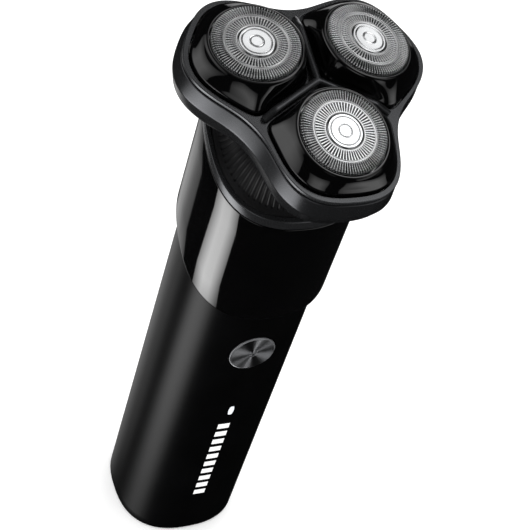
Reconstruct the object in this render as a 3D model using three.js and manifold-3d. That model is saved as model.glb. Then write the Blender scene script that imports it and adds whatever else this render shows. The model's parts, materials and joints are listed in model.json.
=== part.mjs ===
// Electric rotary shaver: a squarish grip, a glossy collar cut on the slant, a ribbed shoulder,
// and a three-lobed cutting head tilted forward on a short neck.
// Millimetres, +Z up the grip. The front face, with the power button, looks towards -Y.
// The head has its own frame: its origin is the middle of the three cutting rims and its +Z is the
// normal of the plane they lie in. Heights named "...H" are measured in that frame, below the rims.

import * as THREE from 'three';
import { mergeVertices } from 'three/addons/utils/BufferGeometryUtils.js';
import Module from 'manifold-3d';

const wasm = await Module();
wasm.setup();

// ---------- driving dimensions ----------

const GAP = 0.3; // clearance between neighbouring pieces
const RUN_GAP = 0.15; // radial clearance of a shaft in its bore

// grip: a superellipse section that widens a little towards the base
const GRIP_HALF_WIDTH = 18.5;
const GRIP_HALF_DEPTH = 18.0;
const GRIP_SQUARENESS = 2.47;
const GRIP_FLARE = 0.27; // extra half width at the base
const GRIP_WALL = 1.8;
const GRIP_LENGTH = 112.4; // base to the collar's lower edge, on the axis
const GRIP_EDGE = 1.2; // rounding of the base edge
const GRIP_TONGUE = 9; // how far the grip runs up inside the collar

// collar, trim ring and shoulder
const COLLAR_LENGTH = 35; // on the axis, lower edge to the trim ring's top
const COLLAR_STEP = 1.8; // how far the collar stands out from the grip
const COLLAR_WALL = 1.5;
const COLLAR_LIP = 1.2;
const COLLAR_CUT_SLOPE = 0.505; // rise towards the back of the lower edge
const RING_SLOPE = 0.477; // rise towards the back of the trim ring
const RING_HEIGHT = 2.4;
const RING_WIDTH = 1.2;
const SHOULDER_BORDER = 1.1; // plain rim outside the ribs
const SHOULDER_RISE = 2.2;
const SHOULDER_WALL = 1.6;

// button and light on the front face
const BUTTON_RADIUS = 6.35;
const BUTTON_BELOW_COLLAR = 26;
const BUTTON_PROUD = 0.3;
const BUTTON_THICKNESS = 2.6;
const LIGHT_HEIGHT = 61;
const LIGHT_HALF_LENGTH = 1.9;
const LIGHT_RADIUS = 0.8;

// head frame
const HEAD_TILT = 0.2491; // radians, forward
const HEAD_CENTRE_ABOVE_RING = 24.6;
const HEAD_CENTRE_FORWARD = 5.64;
const LOBE_ANGLES = { front: -90, right: 30, left: 150 };

// head outline: a three-lobed curve given by its mean radius and three waves round it
const HEAD_MEAN_RADIUS = 26.6;
const HEAD_LOBE_WAVE = 5.5;
const HEAD_SECOND_WAVE = -0.75;
const HEAD_THIRD_WAVE = -0.42;

// pods and cutters
const POD_CENTRE = 16.157; // from the head's axis to a cutting rim's centre
const POD_TILT = 0.104; // radians, outward
const POD_BAND = 1.75; // width of the head's upper band outside a pod
const CHANNEL_HALF_WIDTH = 1.4;
const CUTTER_RADIUS = 10.17;
const CUTTER_CAP_WALL = 0.42;
const CAP_HUB_RADIUS = 4.36;
const COLLAR_BAND = 0.8; // width of a pod's raised collar round its cap
const POD_PIVOT_H = -4.4;
const POD_EDGE_H = -4.6;
const POD_BOTTOM_H = -6.8;

// head levels
const FRAME_TOP_H = -5.5;
const FRAME_BOTTOM_H = -6.4;
const FRAME_PLATE = 1.5;
const SKIRT_BOTTOM_H = -9.6;
const SKIRT_INSET = 1.6;
const SKIRT_WALL = 1.4;
const BASE_RIM_H = -6.75;
const BASE_FLOOR_H = -16.2;
const BASE_UNDERSIDE_H = -18;
const GEAR_PLATE_TOP_H = -10.2;
const GEAR_PLATE_THICKNESS = 1.1;

// gear train: a central gear and three driven gears
const CENTRAL_TEETH = 12;
const DRIVEN_TEETH = 24;
const GEAR_THICKNESS = 3.2;
const GEAR_BOTTOM_H = -15.2;
const PRESSURE_ANGLE = 25;
const TOOTH_BACKLASH = 0.16;
const SPINDLE_RADIUS = 1.6;

// neck and motor, on the head's axis
const NECK_RADIUS = 9;
const NECK_BORE = 6.45;
const NECK_BOTTOM_H = -29.9;
const MOTOR_RADIUS = 8.2;
const MOTOR_LENGTH = 20;
const MOTOR_SHAFT_RADIUS = 1;
const MOTOR_MOUNT_RADIUS = 11.2;
const MOTOR_MOUNT_THICKNESS = 1.4;

// inside the grip
const BATTERY_RADIUS = 7;
const BATTERY_LENGTH = 50;
const BATTERY_BOTTOM = 11.5;
const BOARD_HALF_WIDTH = 10.5;
const BOARD_THICKNESS = 1.2;
const BOARD_BOTTOM = 12;
const CHASSIS_THICKNESS = 1.6;
const BASE_CAP_THICKNESS = 2.4;
const SOCKET_WIDTH = 9;
const SOCKET_HEIGHT = 3.3;
const SOCKET_DEPTH = 7;
const SOCKET_Y = 9; // the socket sits behind the middle of the base

// facet counts
const GRIP_SIDES = 36;
const HEAD_SIDES = 48;
const POD_SIDES = 28;
const ROUND_SIDES = 20;
const SMALL_SIDES = 10;

// ---------- derived places ----------

const FRONT_Y = -GRIP_HALF_DEPTH;
const RING_Z = GRIP_LENGTH + COLLAR_LENGTH;
const HEAD_CENTRE = new THREE.Vector3(0, -HEAD_CENTRE_FORWARD, RING_Z + HEAD_CENTRE_ABOVE_RING);
const BUTTON_Z = GRIP_LENGTH - BUTTON_BELOW_COLLAR;
const GEAR_CENTRE = POD_CENTRE + POD_PIVOT_H * Math.sin(POD_TILT);
const GEAR_MODULE = (2 * GEAR_CENTRE) / (CENTRAL_TEETH + DRIVEN_TEETH);
const GEAR_TOP_H = GEAR_BOTTOM_H + GEAR_THICKNESS;
const GEAR_PLATE_BOTTOM_H = GEAR_PLATE_TOP_H - GEAR_PLATE_THICKNESS;
const MOTOR_MOUNT_TOP_H = NECK_BOTTOM_H - GAP;
const MOTOR_TOP_H = MOTOR_MOUNT_TOP_H - MOTOR_MOUNT_THICKNESS - GAP;
const MOTOR_BOTTOM_H = MOTOR_TOP_H - MOTOR_LENGTH;
const CAP_BORE = CUTTER_RADIUS + GAP + 0.03;

// ---------- materials ----------

const finish = {
  gripBlack: { color: 0x17181a, roughness: 0.42, metalness: 0 },
  glossBlack: { color: 0x0b0b0c, roughness: 0.08, metalness: 0 },
  mattBlack: { color: 0x1b1b1d, roughness: 0.75, metalness: 0 },
  satinGrey: { color: 0x54565a, roughness: 0.38, metalness: 0.7 },
  satinDark: { color: 0x3a3b3e, roughness: 0.4, metalness: 0.5 },
  steel: { color: 0xc9cbcd, roughness: 0.28, metalness: 1 },
  brightSteel: { color: 0xe2e3e4, roughness: 0.16, metalness: 1 },
  brass: { color: 0xb3924f, roughness: 0.35, metalness: 1 },
  whitePlastic: { color: 0xd9d9d4, roughness: 0.5, metalness: 0 },
  board: { color: 0x1f4a36, roughness: 0.6, metalness: 0 },
  chip: { color: 0x131416, roughness: 0.5, metalness: 0 },
  batteryWrap: { color: 0x36648c, roughness: 0.45, metalness: 0 },
  rubber: { color: 0x202122, roughness: 0.9, metalness: 0 },
  lens: { color: 0xe9edf0, roughness: 0.2, metalness: 0 },
};

// ---------- geometry helpers ----------

// Rings of equal length, joined one to the next. An open stack is closed by a fan at each end; a
// closed stack joins its last ring to its first, which makes a tube with a wall.
function loft(rings, closed = false) {
  const count = rings[0].length;
  const points = rings.flat();
  const index = [];
  const bands = closed ? rings.length : rings.length - 1;
  for (let j = 0; j < bands; j += 1) {
    const low = j * count;
    const high = ((j + 1) % rings.length) * count;
    for (let i = 0; i < count; i += 1) {
      const next = (i + 1) % count;
      index.push(low + i, low + next, high + next);
      index.push(low + i, high + next, high + i);
    }
  }
  if (!closed) {
    addFan(points, index, 0, count, true);
    addFan(points, index, (rings.length - 1) * count, count, false);
  }
  const geometry = new THREE.BufferGeometry().setFromPoints(points);
  geometry.setIndex(index);
  return geometry;
}

function addFan(points, index, start, count, facesDown) {
  const centre = new THREE.Vector3();
  for (let i = 0; i < count; i += 1) centre.add(points[start + i]);
  points.push(centre.divideScalar(count));
  const middle = points.length - 1;
  for (let i = 0; i < count; i += 1) {
    const here = start + i;
    const next = start + ((i + 1) % count);
    if (facesDown) index.push(middle, next, here);
    else index.push(middle, here, next);
  }
}

function toSolid(geometry) {
  const bare = geometry.clone();
  bare.deleteAttribute('normal');
  bare.deleteAttribute('uv');
  const merged = mergeVertices(bare, 1e-5);
  const mesh = new wasm.Mesh({
    numProp: 3,
    vertProperties: new Float32Array(merged.attributes.position.array),
    triVerts: new Uint32Array(merged.index.array),
  });
  return new wasm.Manifold(mesh);
}

function toGeometry(solid) {
  const mesh = solid.getMesh();
  const geometry = new THREE.BufferGeometry();
  geometry.setAttribute('position', new THREE.BufferAttribute(mesh.vertProperties, 3));
  geometry.setIndex(new THREE.BufferAttribute(mesh.triVerts, 1));
  return geometry;
}

function join(first, ...others) {
  return toGeometry(others.reduce((solid, other) => solid.add(toSolid(other)), toSolid(first)));
}

function cut(first, ...others) {
  return toGeometry(others.reduce((solid, other) => solid.subtract(toSolid(other)), toSolid(first)));
}

function box(xRange, yRange, zRange) {
  const size = [xRange, yRange, zRange].map(([low, high]) => high - low);
  const middle = [xRange, yRange, zRange].map(([low, high]) => (low + high) / 2);
  return new THREE.BoxGeometry(...size).translate(...middle);
}

// A cylinder on +Z between two heights.
function rod(radius, low, high, sides = ROUND_SIDES) {
  const geometry = new THREE.CylinderGeometry(radius, radius, high - low, sides);
  return geometry.rotateX(Math.PI / 2).translate(0, 0, (low + high) / 2);
}

// A solid turned about +Z from [radius, height] corners that run up the outside.
function turned(corners, sides = ROUND_SIDES) {
  const profile = corners.map(([radius, height]) => new THREE.Vector2(radius, height));
  return new THREE.LatheGeometry(profile, sides).rotateX(Math.PI / 2);
}

// The same, for a ring that never meets the axis: the profile closes on itself.
function turnedRing(corners, sides = ROUND_SIDES) {
  return turned([...corners, corners[0]], sides);
}

// A cylinder along Y between two depths.
function rodAlongY(radius, low, high, x, z, sides = ROUND_SIDES) {
  const geometry = new THREE.CylinderGeometry(radius, radius, high - low, sides);
  return geometry.translate(x, 0, 0).translate(0, (low + high) / 2, z);
}

function extrudeShape(points, low, high) {
  const shape = new THREE.Shape(points);
  const options = { depth: high - low, bevelEnabled: false };
  return new THREE.ExtrudeGeometry(shape, options).translate(0, 0, low);
}

// ---------- outlines ----------

// The grip's section, offset outward, on a plane that rises by slope towards the back.
function gripRing(offset, height, slope = 0, scale = 1) {
  const ring = [];
  const power = 2 / GRIP_SQUARENESS;
  for (let i = 0; i < GRIP_SIDES; i += 1) {
    const turn = (2 * Math.PI * i) / GRIP_SIDES;
    const cos = Math.cos(turn);
    const sin = Math.sin(turn);
    const x = scale * (GRIP_HALF_WIDTH + offset) * Math.sign(cos) * Math.abs(cos) ** power;
    const y = scale * (GRIP_HALF_DEPTH + offset) * Math.sign(sin) * Math.abs(sin) ** power;
    ring.push(new THREE.Vector3(x, y, height + slope * y));
  }
  return ring;
}

// Half depth of the offset section at a distance from its middle plane.
function gripDepthAt(x, offset) {
  const share = (x / (GRIP_HALF_WIDTH + offset)) ** GRIP_SQUARENESS;
  return (GRIP_HALF_DEPTH + offset) * (1 - share) ** (1 / GRIP_SQUARENESS);
}

// Radius of the head's outline at an angle measured from a lobe.
function headRadius(angle, offset = 0) {
  const waves =
    HEAD_LOBE_WAVE * Math.cos(3 * angle) +
    HEAD_SECOND_WAVE * Math.cos(6 * angle) +
    HEAD_THIRD_WAVE * Math.cos(9 * angle);
  return HEAD_MEAN_RADIUS + waves + offset;
}

function headRing(offset, height) {
  const frontLobe = THREE.MathUtils.degToRad(LOBE_ANGLES.front);
  const ring = [];
  for (let i = 0; i < HEAD_SIDES; i += 1) {
    const angle = (2 * Math.PI * i) / HEAD_SIDES;
    const radius = headRadius(angle - frontLobe, offset);
    ring.push(new THREE.Vector3(radius * Math.cos(angle), radius * Math.sin(angle), height));
  }
  return ring;
}

function roundRing(radius, height, sides) {
  const ring = [];
  for (let i = 0; i < sides; i += 1) {
    const angle = (2 * Math.PI * i) / sides;
    ring.push(new THREE.Vector3(radius * Math.cos(angle), radius * Math.sin(angle), height));
  }
  return ring;
}

// Distance from a pod's centre to the head's outline less the upper band, along one direction.
function reachToBand(angle) {
  let near = 0;
  let far = 3 * HEAD_MEAN_RADIUS;
  for (let step = 0; step < 30; step += 1) {
    const middle = (near + far) / 2;
    const x = POD_CENTRE + middle * Math.cos(angle);
    const y = middle * Math.sin(angle);
    if (Math.hypot(x, y) < headRadius(Math.atan2(y, x), -POD_BAND)) near = middle;
    else far = middle;
  }
  return near;
}

// Distance from a pod's centre to the edge of a channel, whose middle line runs at plus or minus
// 60 degrees from the lobe through the head's centre.
function reachToChannel(angle, side) {
  const normal = [Math.sin(Math.PI / 3), -side * Math.cos(Math.PI / 3)];
  const closing = -(Math.cos(angle) * normal[0] + Math.sin(angle) * normal[1]);
  const distance = POD_CENTRE * normal[0] - CHANNEL_HALF_WIDTH;
  return closing > 0.01 ? distance / closing : 100 * distance;
}

// A pod's outline seen from above, in its lobe's frame: the nearest of the three edges in each
// direction, with a high power mean that rounds the corners where two of them meet.
function podRing(offset, height) {
  const sharpness = 9;
  const ring = [];
  for (let i = 0; i < POD_SIDES; i += 1) {
    const angle = (2 * Math.PI * i) / POD_SIDES;
    const reaches = [reachToBand(angle), reachToChannel(angle, 1), reachToChannel(angle, -1)];
    const sum = reaches.reduce((total, reach) => total + reach ** -sharpness, 0);
    const radius = sum ** (-1 / sharpness) + offset;
    const x = POD_CENTRE + radius * Math.cos(angle);
    ring.push(new THREE.Vector3(x, radius * Math.sin(angle), height));
  }
  return ring;
}

// A circle about a pod's tilted axis, in its lobe's frame.
function tiltedRing(radius, height) {
  const cos = Math.cos(POD_TILT);
  const sin = Math.sin(POD_TILT);
  return roundRing(radius, height, POD_SIDES).map(
    ({ x, y, z }) => new THREE.Vector3(POD_CENTRE + x * cos + z * sin, y, z * cos - x * sin),
  );
}

function blendRings(first, second, share, lift) {
  return first.map((point, i) => {
    const mixed = point.clone().lerp(second[i], share);
    mixed.z += lift;
    return mixed;
  });
}

// A spur gear's outline: each tooth climbs an involute flank in three points, from root to pitch
// circle to tip, and comes down its mirror image. The first tooth points along +X.
function gearPoints(teeth) {
  const pitch = (GEAR_MODULE * teeth) / 2;
  const tip = pitch + 0.92 * GEAR_MODULE;
  const root = pitch - 1.25 * GEAR_MODULE;
  const pressure = THREE.MathUtils.degToRad(PRESSURE_ANGLE);
  const base = pitch * Math.cos(pressure);
  const involute = (radius) => {
    const angle = Math.acos(Math.min(1, base / radius));
    return Math.tan(angle) - angle;
  };
  const halfTooth = Math.PI / (2 * teeth) - TOOTH_BACKLASH / (2 * pitch);
  const halfAngle = (radius) => halfTooth + involute(pitch) - involute(radius);
  const side = [root, pitch, tip].map((radius) => [radius, halfAngle(radius)]);
  const points = [];
  for (let tooth = 0; tooth < teeth; tooth += 1) {
    const middle = (2 * Math.PI * tooth) / teeth;
    for (const [radius, half] of side) points.push(polar(radius, middle - half));
    for (const [radius, half] of [...side].reverse()) points.push(polar(radius, middle + half));
  }
  return points;
}

function polar(radius, angle) {
  return new THREE.Vector2(radius * Math.cos(angle), radius * Math.sin(angle));
}

// ---------- scene ----------

const shaver = new THREE.Group();
const head = new THREE.Group();
head.position.copy(HEAD_CENTRE);
head.rotation.x = HEAD_TILT;
shaver.add(head);

function place(parent, name, geometry, look) {
  const mesh = new THREE.Mesh(geometry, new THREE.MeshStandardMaterial(look));
  mesh.name = name;
  parent.add(mesh);
  return mesh;
}

// ---------- grip ----------

function gripShell() {
  const flareAt = (height) => GRIP_FLARE * (1 - height / GRIP_LENGTH);
  const top = GRIP_LENGTH + GRIP_TONGUE;
  const tube = loft(
    [
      gripRing(GRIP_FLARE - GRIP_EDGE, 0),
      gripRing(GRIP_FLARE - 0.3 * GRIP_EDGE, 0.3 * GRIP_EDGE),
      gripRing(flareAt(GRIP_EDGE), GRIP_EDGE),
      gripRing(0, top, COLLAR_CUT_SLOPE),
      gripRing(-GRIP_WALL, top, COLLAR_CUT_SLOPE),
      gripRing(-GRIP_WALL, 0),
    ],
    true,
  );
  const reach = GRIP_HALF_DEPTH;
  const buttonHole = rodAlongY(BUTTON_RADIUS + GAP, -2 * reach, -reach / 2, 0, BUTTON_Z);
  const motorPocket = rod(MOTOR_RADIUS + GAP, MOTOR_BOTTOM_H - GAP, MOTOR_TOP_H);
  motorPocket.rotateX(HEAD_TILT).translate(...HEAD_CENTRE);
  return cut(tube, buttonHole, motorPocket, lightPill(GAP, -2 * reach, -reach / 2));
}

// The light window: a slot with round ends, upright on the front face.
function lightPill(offset, low, high) {
  const radius = LIGHT_RADIUS + offset;
  const shape = new THREE.Shape();
  shape.absarc(0, LIGHT_HALF_LENGTH - LIGHT_RADIUS, radius, 0, Math.PI, false);
  shape.absarc(0, LIGHT_RADIUS - LIGHT_HALF_LENGTH, radius, Math.PI, 2 * Math.PI, false);
  const options = { depth: high - low, bevelEnabled: false, curveSegments: 6 };
  const geometry = new THREE.ExtrudeGeometry(shape, options);
  return geometry.rotateX(Math.PI / 2).translate(0, high, LIGHT_HEIGHT);
}

// A flat plate with two round-ended long sides, as a charging socket has.
function socketOutline(offset) {
  const radius = SOCKET_HEIGHT / 2 + offset;
  const reach = SOCKET_WIDTH / 2 - SOCKET_HEIGHT / 2;
  const shape = new THREE.Shape();
  shape.absarc(reach, 0, radius, -Math.PI / 2, Math.PI / 2, false);
  shape.absarc(-reach, 0, radius, Math.PI / 2, 1.5 * Math.PI, false);
  return shape.getPoints(5);
}

const BASE_SCREW_X = 11;
const BASE_SCREW_Y = 6;
const BASE_SCREW_HEAD = 1.9;
const BASE_SCREW_SHANK = 1;

function baseCap() {
  const plate = loft([gripRing(-GRIP_WALL - GAP, 0), gripRing(-GRIP_WALL - GAP, BASE_CAP_THICKNESS)]);
  const socketHole = extrudeShape(socketOutline(GAP), -1, BASE_CAP_THICKNESS + 1);
  const cuts = [socketHole.translate(0, SOCKET_Y, 0)];
  for (const side of [-1, 1]) {
    const shift = [side * BASE_SCREW_X, BASE_SCREW_Y, 0];
    cuts.push(rod(BASE_SCREW_HEAD + GAP, -1, 1.4, SMALL_SIDES).translate(...shift));
    cuts.push(rod(BASE_SCREW_SHANK + GAP, -1, BASE_CAP_THICKNESS + 1, SMALL_SIDES).translate(...shift));
  }
  return cut(plate, ...cuts);
}

const CHASSIS_FRONT = -3.4;
const CHASSIS_BACK = CHASSIS_FRONT + CHASSIS_THICKNESS;
const CHASSIS_SIDE_ROOM = 4.2; // left free for the rounded sides of the grip
const CHASSIS_HALF_WIDTH = GRIP_HALF_WIDTH - GRIP_WALL - CHASSIS_SIDE_ROOM;
const BATTERY_Y = CHASSIS_BACK + GAP + BATTERY_RADIUS;
const SHELF_BOTTOM = BASE_CAP_THICKNESS + GAP + SOCKET_DEPTH * 0.7;
const SHELF_TOP = SHELF_BOTTOM + CHASSIS_THICKNESS;
const BOARD_FRONT = CHASSIS_FRONT - 4.6 - BOARD_THICKNESS;
const BOARD_BACK = BOARD_FRONT + BOARD_THICKNESS;
const BOARD_TOP = BUTTON_Z + 12;
const BATTERY_TOP = BATTERY_BOTTOM + BATTERY_LENGTH;
const BATTERY_TIP = 1;
const BATTERY_TIP_RADIUS = 2.6;
const TAB_HALF_WIDTH = 3;
const TAB_THICKNESS = 0.5;
const BATTERY_SHELF_LOW = BATTERY_TOP + 3.4;
const BATTERY_SHELF_HALF_WIDTH = 8;
const POST_X = 9;
const POST_HALF_WIDTH = 1;
const POST_HEIGHTS = [20, 70]; // where the posts that carry the board start

function chassis() {
  const half = CHASSIS_HALF_WIDTH;
  const shelfHigh = BATTERY_SHELF_LOW + CHASSIS_THICKNESS;
  const spine = box([-half, half], [CHASSIS_FRONT, CHASSIS_BACK], [SHELF_BOTTOM, BOARD_TOP + 2]);
  const lower = box([-half, half], [CHASSIS_FRONT, BATTERY_Y + 5], [SHELF_BOTTOM, SHELF_TOP]);
  const upper = box(
    [-BATTERY_SHELF_HALF_WIDTH, BATTERY_SHELF_HALF_WIDTH],
    [CHASSIS_FRONT, BATTERY_Y + 4],
    [BATTERY_SHELF_LOW, shelfHigh],
  );
  const posts = [-POST_X, POST_X].flatMap((middle) =>
    POST_HEIGHTS.map((low) =>
      box(
        [middle - POST_HALF_WIDTH, middle + POST_HALF_WIDTH],
        [BOARD_BACK + GAP, CHASSIS_FRONT + 0.5],
        [low, low + 2 * POST_HALF_WIDTH],
      ),
    ),
  );
  const holes = [-1, 1].map((side) =>
    rod(BASE_SCREW_SHANK + GAP, SHELF_BOTTOM - 1, SHELF_TOP + 1, SMALL_SIDES).translate(
      side * BASE_SCREW_X,
      BASE_SCREW_Y,
      0,
    ),
  );
  return cut(join(spine, lower, upper, ...posts), ...holes);
}

function buildGrip() {
  place(shaver, 'grip_shell', gripShell(), finish.gripBlack);
  place(shaver, 'base_cap', baseCap(), finish.mattBlack);
  for (const [name, side] of [['left', -1], ['right', 1]]) {
    const corners = [
      [0, 0.3],
      [BASE_SCREW_HEAD, 0.3],
      [BASE_SCREW_HEAD, 1.1],
      [BASE_SCREW_SHANK, 1.4],
      [BASE_SCREW_SHANK, SHELF_TOP + 0.6],
      [0, SHELF_TOP + 1.4],
    ];
    const screw = place(shaver, `base_screw_${name}`, turned(corners, SMALL_SIDES), finish.steel);
    screw.position.set(side * BASE_SCREW_X, BASE_SCREW_Y, 0);
  }
  place(shaver, 'chassis', chassis(), finish.whitePlastic);
}

// a controller and a coil stand on the front of the board, sunk a little into it
const CHIP_SINK = 0.2;
const CONTROLLER_HEIGHTS = [36, 43];
const COIL_HEIGHTS = [22, 26];
const LED_HALF_WIDTH = 0.8;
const LED_DEPTH = 1;
const SOCKET_WALL = 0.4;
const SOCKET_LOW = 0.5; // the socket's mouth stands this far up inside the base

function buildElectronics() {
  const cell = turned([
    [0, BATTERY_BOTTOM],
    [BATTERY_RADIUS - 0.4, BATTERY_BOTTOM],
    [BATTERY_RADIUS, BATTERY_BOTTOM + 0.5],
    [BATTERY_RADIUS, BATTERY_TOP - 0.8],
    [BATTERY_RADIUS - 0.8, BATTERY_TOP],
    [BATTERY_TIP_RADIUS, BATTERY_TOP],
    [BATTERY_TIP_RADIUS, BATTERY_TOP + BATTERY_TIP],
    [0, BATTERY_TOP + BATTERY_TIP],
  ]);
  place(shaver, 'battery_cell', cell, finish.batteryWrap).position.y = BATTERY_Y;
  const tabSide = [-TAB_HALF_WIDTH, TAB_HALF_WIDTH];
  const tabDepth = tabSide.map((edge) => BATTERY_Y + edge);
  const tab = (low) => box(tabSide, tabDepth, [low, low + TAB_THICKNESS]);
  place(shaver, 'battery_tab_lower', tab(BATTERY_BOTTOM - GAP - TAB_THICKNESS), finish.steel);
  place(shaver, 'battery_tab_upper', tab(BATTERY_TOP + BATTERY_TIP + GAP), finish.steel);

  const half = BOARD_HALF_WIDTH;
  const board = join(
    box([-half, half], [BOARD_FRONT, BOARD_BACK], [BOARD_BOTTOM, BOARD_TOP]),
    box([-3.5, 3.5], [BOARD_FRONT - 1, BOARD_FRONT + CHIP_SINK], CONTROLLER_HEIGHTS),
    box([-2, 2], [BOARD_FRONT - 1.6, BOARD_FRONT + CHIP_SINK], COIL_HEIGHTS),
  );
  place(shaver, 'circuit_board', board, finish.board);
  const onBoard = BOARD_FRONT - GAP;
  const ledSide = [-LED_HALF_WIDTH, LED_HALF_WIDTH];
  const ledHeight = ledSide.map((edge) => LIGHT_HEIGHT + edge);
  const led = box(ledSide, [onBoard - LED_DEPTH, onBoard], ledHeight);
  place(shaver, 'charge_led', led, finish.lens);
  const guide = lightPill(0, FRONT_Y + 0.02, onBoard - LED_DEPTH - GAP);
  place(shaver, 'light_guide', guide, finish.lens);

  const outer = socketOutline(0);
  const inner = socketOutline(-SOCKET_WALL);
  const low = SOCKET_LOW;
  const high = low + SOCKET_DEPTH;
  const can = cut(extrudeShape(outer, low, high), extrudeShape(inner, low - 1, high - 0.5));
  place(shaver, 'charging_socket', can, finish.steel).position.y = SOCKET_Y;
  const reach = SOCKET_WIDTH / 2 - SOCKET_HEIGHT / 2;
  const tongue = box([-reach, reach], [-0.35, 0.35], [low + 0.7, high - 0.5 - GAP]);
  place(shaver, 'socket_tongue', tongue, finish.chip).position.y = SOCKET_Y;
}

// ---------- button ----------

const BUTTON_FACE_Y = FRONT_Y - BUTTON_PROUD;
const BUTTON_BACK_Y = BUTTON_FACE_Y + BUTTON_THICKNESS;
const SWITCH_FRONT_Y = BOARD_FRONT - GAP - 2.2;
const BUTTON_FLANGE = 0.9; // width and thickness of the rim that keeps the button in
const BUTTON_STEM_RADIUS = 1.6; // radius of the button's stem
const PLUNGER_RADIUS = 1.1;
const SWITCH_HALF_WIDTH = 3;
const SEAL_RADIUS = 5.2;

function buildButton() {
  const flange = BUTTON_RADIUS + BUTTON_FLANGE;
  const flangeFront = GAP - gripDepthAt(flange, -GRIP_WALL);
  const cap = join(
    rodAlongY(BUTTON_RADIUS, BUTTON_FACE_Y, Math.max(BUTTON_BACK_Y, flangeFront + 0.5), 0, BUTTON_Z),
    rodAlongY(flange, flangeFront, flangeFront + BUTTON_FLANGE, 0, BUTTON_Z),
    rodAlongY(BUTTON_STEM_RADIUS, flangeFront, SWITCH_FRONT_Y - 0.9, 0, BUTTON_Z, SMALL_SIDES),
    rodAlongY(PLUNGER_RADIUS, SWITCH_FRONT_Y - 1, SWITCH_FRONT_Y + 0.8, 0, BUTTON_Z, SMALL_SIDES),
  );
  place(shaver, 'power_button', cap, finish.steel);
  const side = [-SWITCH_HALF_WIDTH, SWITCH_HALF_WIDTH];
  const body = cut(
    box(side, [SWITCH_FRONT_Y, BOARD_FRONT - GAP], side.map((edge) => BUTTON_Z + edge)),
    rodAlongY(PLUNGER_RADIUS + GAP, SWITCH_FRONT_Y - 1, SWITCH_FRONT_Y + 1.7, 0, BUTTON_Z, SMALL_SIDES),
  );
  place(shaver, 'switch_body', body, finish.chip);
  const seal = cut(
    rodAlongY(SEAL_RADIUS, SWITCH_FRONT_Y - 1.5, SWITCH_FRONT_Y - 1, 0, BUTTON_Z),
    rodAlongY(BUTTON_STEM_RADIUS + GAP, SWITCH_FRONT_Y - 2, SWITCH_FRONT_Y, 0, BUTTON_Z, SMALL_SIDES),
  );
  place(shaver, 'button_seal', seal, finish.rubber);
}

// ---------- collar, ring and shoulder ----------

function buildCollar() {
  const inner = COLLAR_STEP - COLLAR_WALL;
  const collarTop = RING_Z - RING_HEIGHT - GAP;
  const sleeve = loft(
    [
      gripRing(COLLAR_STEP - COLLAR_LIP, GRIP_LENGTH, COLLAR_CUT_SLOPE),
      gripRing(COLLAR_STEP - 0.3 * COLLAR_LIP, GRIP_LENGTH + 0.3 * COLLAR_LIP, COLLAR_CUT_SLOPE),
      gripRing(COLLAR_STEP, GRIP_LENGTH + COLLAR_LIP, COLLAR_CUT_SLOPE),
      gripRing(COLLAR_STEP, collarTop, RING_SLOPE),
      gripRing(inner, collarTop, RING_SLOPE),
      gripRing(inner, GRIP_LENGTH, COLLAR_CUT_SLOPE),
    ],
    true,
  );
  place(shaver, 'glossy_collar', sleeve, finish.glossBlack);

  const ringInner = COLLAR_STEP - RING_WIDTH;
  const ring = loft(
    [
      gripRing(COLLAR_STEP, RING_Z - RING_HEIGHT, RING_SLOPE),
      gripRing(COLLAR_STEP, RING_Z - 0.4, RING_SLOPE),
      gripRing(COLLAR_STEP - 0.35, RING_Z, RING_SLOPE),
      gripRing(ringInner, RING_Z - 0.1, RING_SLOPE),
      gripRing(ringInner, RING_Z - RING_HEIGHT, RING_SLOPE),
    ],
    true,
  );
  place(shaver, 'trim_ring', ring, finish.satinGrey);

  const edge = ringInner - GAP;
  const dome = (drop, inset, bottom) =>
    loft([
      gripRing(edge - inset, RING_Z - bottom, RING_SLOPE),
      gripRing(edge - inset, RING_Z - 0.6 - drop, RING_SLOPE),
      gripRing(edge - SHOULDER_BORDER - inset, RING_Z - 0.4 - drop, RING_SLOPE),
      gripRing(0, RING_Z + SHOULDER_RISE - drop, RING_SLOPE, 0.55),
    ]);
  const neckHole = rod(NECK_RADIUS + GAP, -2 * HEAD_MEAN_RADIUS, 0);
  neckHole.rotateX(HEAD_TILT).translate(...HEAD_CENTRE);
  const shoulder = cut(dome(0, 0, 2.2), dome(SHOULDER_WALL, SHOULDER_WALL, 4), neckHole);
  place(shaver, 'ribbed_shoulder', shoulder, finish.mattBlack);
}

// ---------- neck and motor ----------

function buildNeck() {
  const neck = turnedRing([
    [NECK_BORE, NECK_BOTTOM_H],
    [NECK_RADIUS, NECK_BOTTOM_H],
    [NECK_RADIUS, BASE_UNDERSIDE_H - GAP - 0.5],
    [NECK_RADIUS - 0.5, BASE_UNDERSIDE_H - GAP],
    [NECK_BORE, BASE_UNDERSIDE_H - GAP],
  ]);
  place(head, 'neck_collar', neck, finish.mattBlack);
  const seal = turnedRing([
    [MOTOR_SHAFT_RADIUS + RUN_GAP, NECK_BOTTOM_H + 1.6],
    [NECK_BORE - GAP, NECK_BOTTOM_H + 1.6],
    [NECK_BORE - GAP, NECK_BOTTOM_H + 2.8],
    [MOTOR_SHAFT_RADIUS + RUN_GAP, NECK_BOTTOM_H + 2.8],
  ]);
  place(head, 'shaft_seal', seal, finish.rubber);
}

const MOTOR_SCREW_X = 4.6;
const MOTOR_SCREW_HOLE = 1.05;
const MOTOR_WALL = 0.8;
const MAGNET_THICKNESS = 1;
const MAGNET_END_ROOM = 3.5;
const ROTOR_END_ROOM = 4;
const ROTOR_AIR_GAP = 0.6;
const COUPLING_TOP_H = -17.2;
const COUPLING_BOTTOM_H = -26;
const COUPLING_RADIUS = 2.1;

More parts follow.
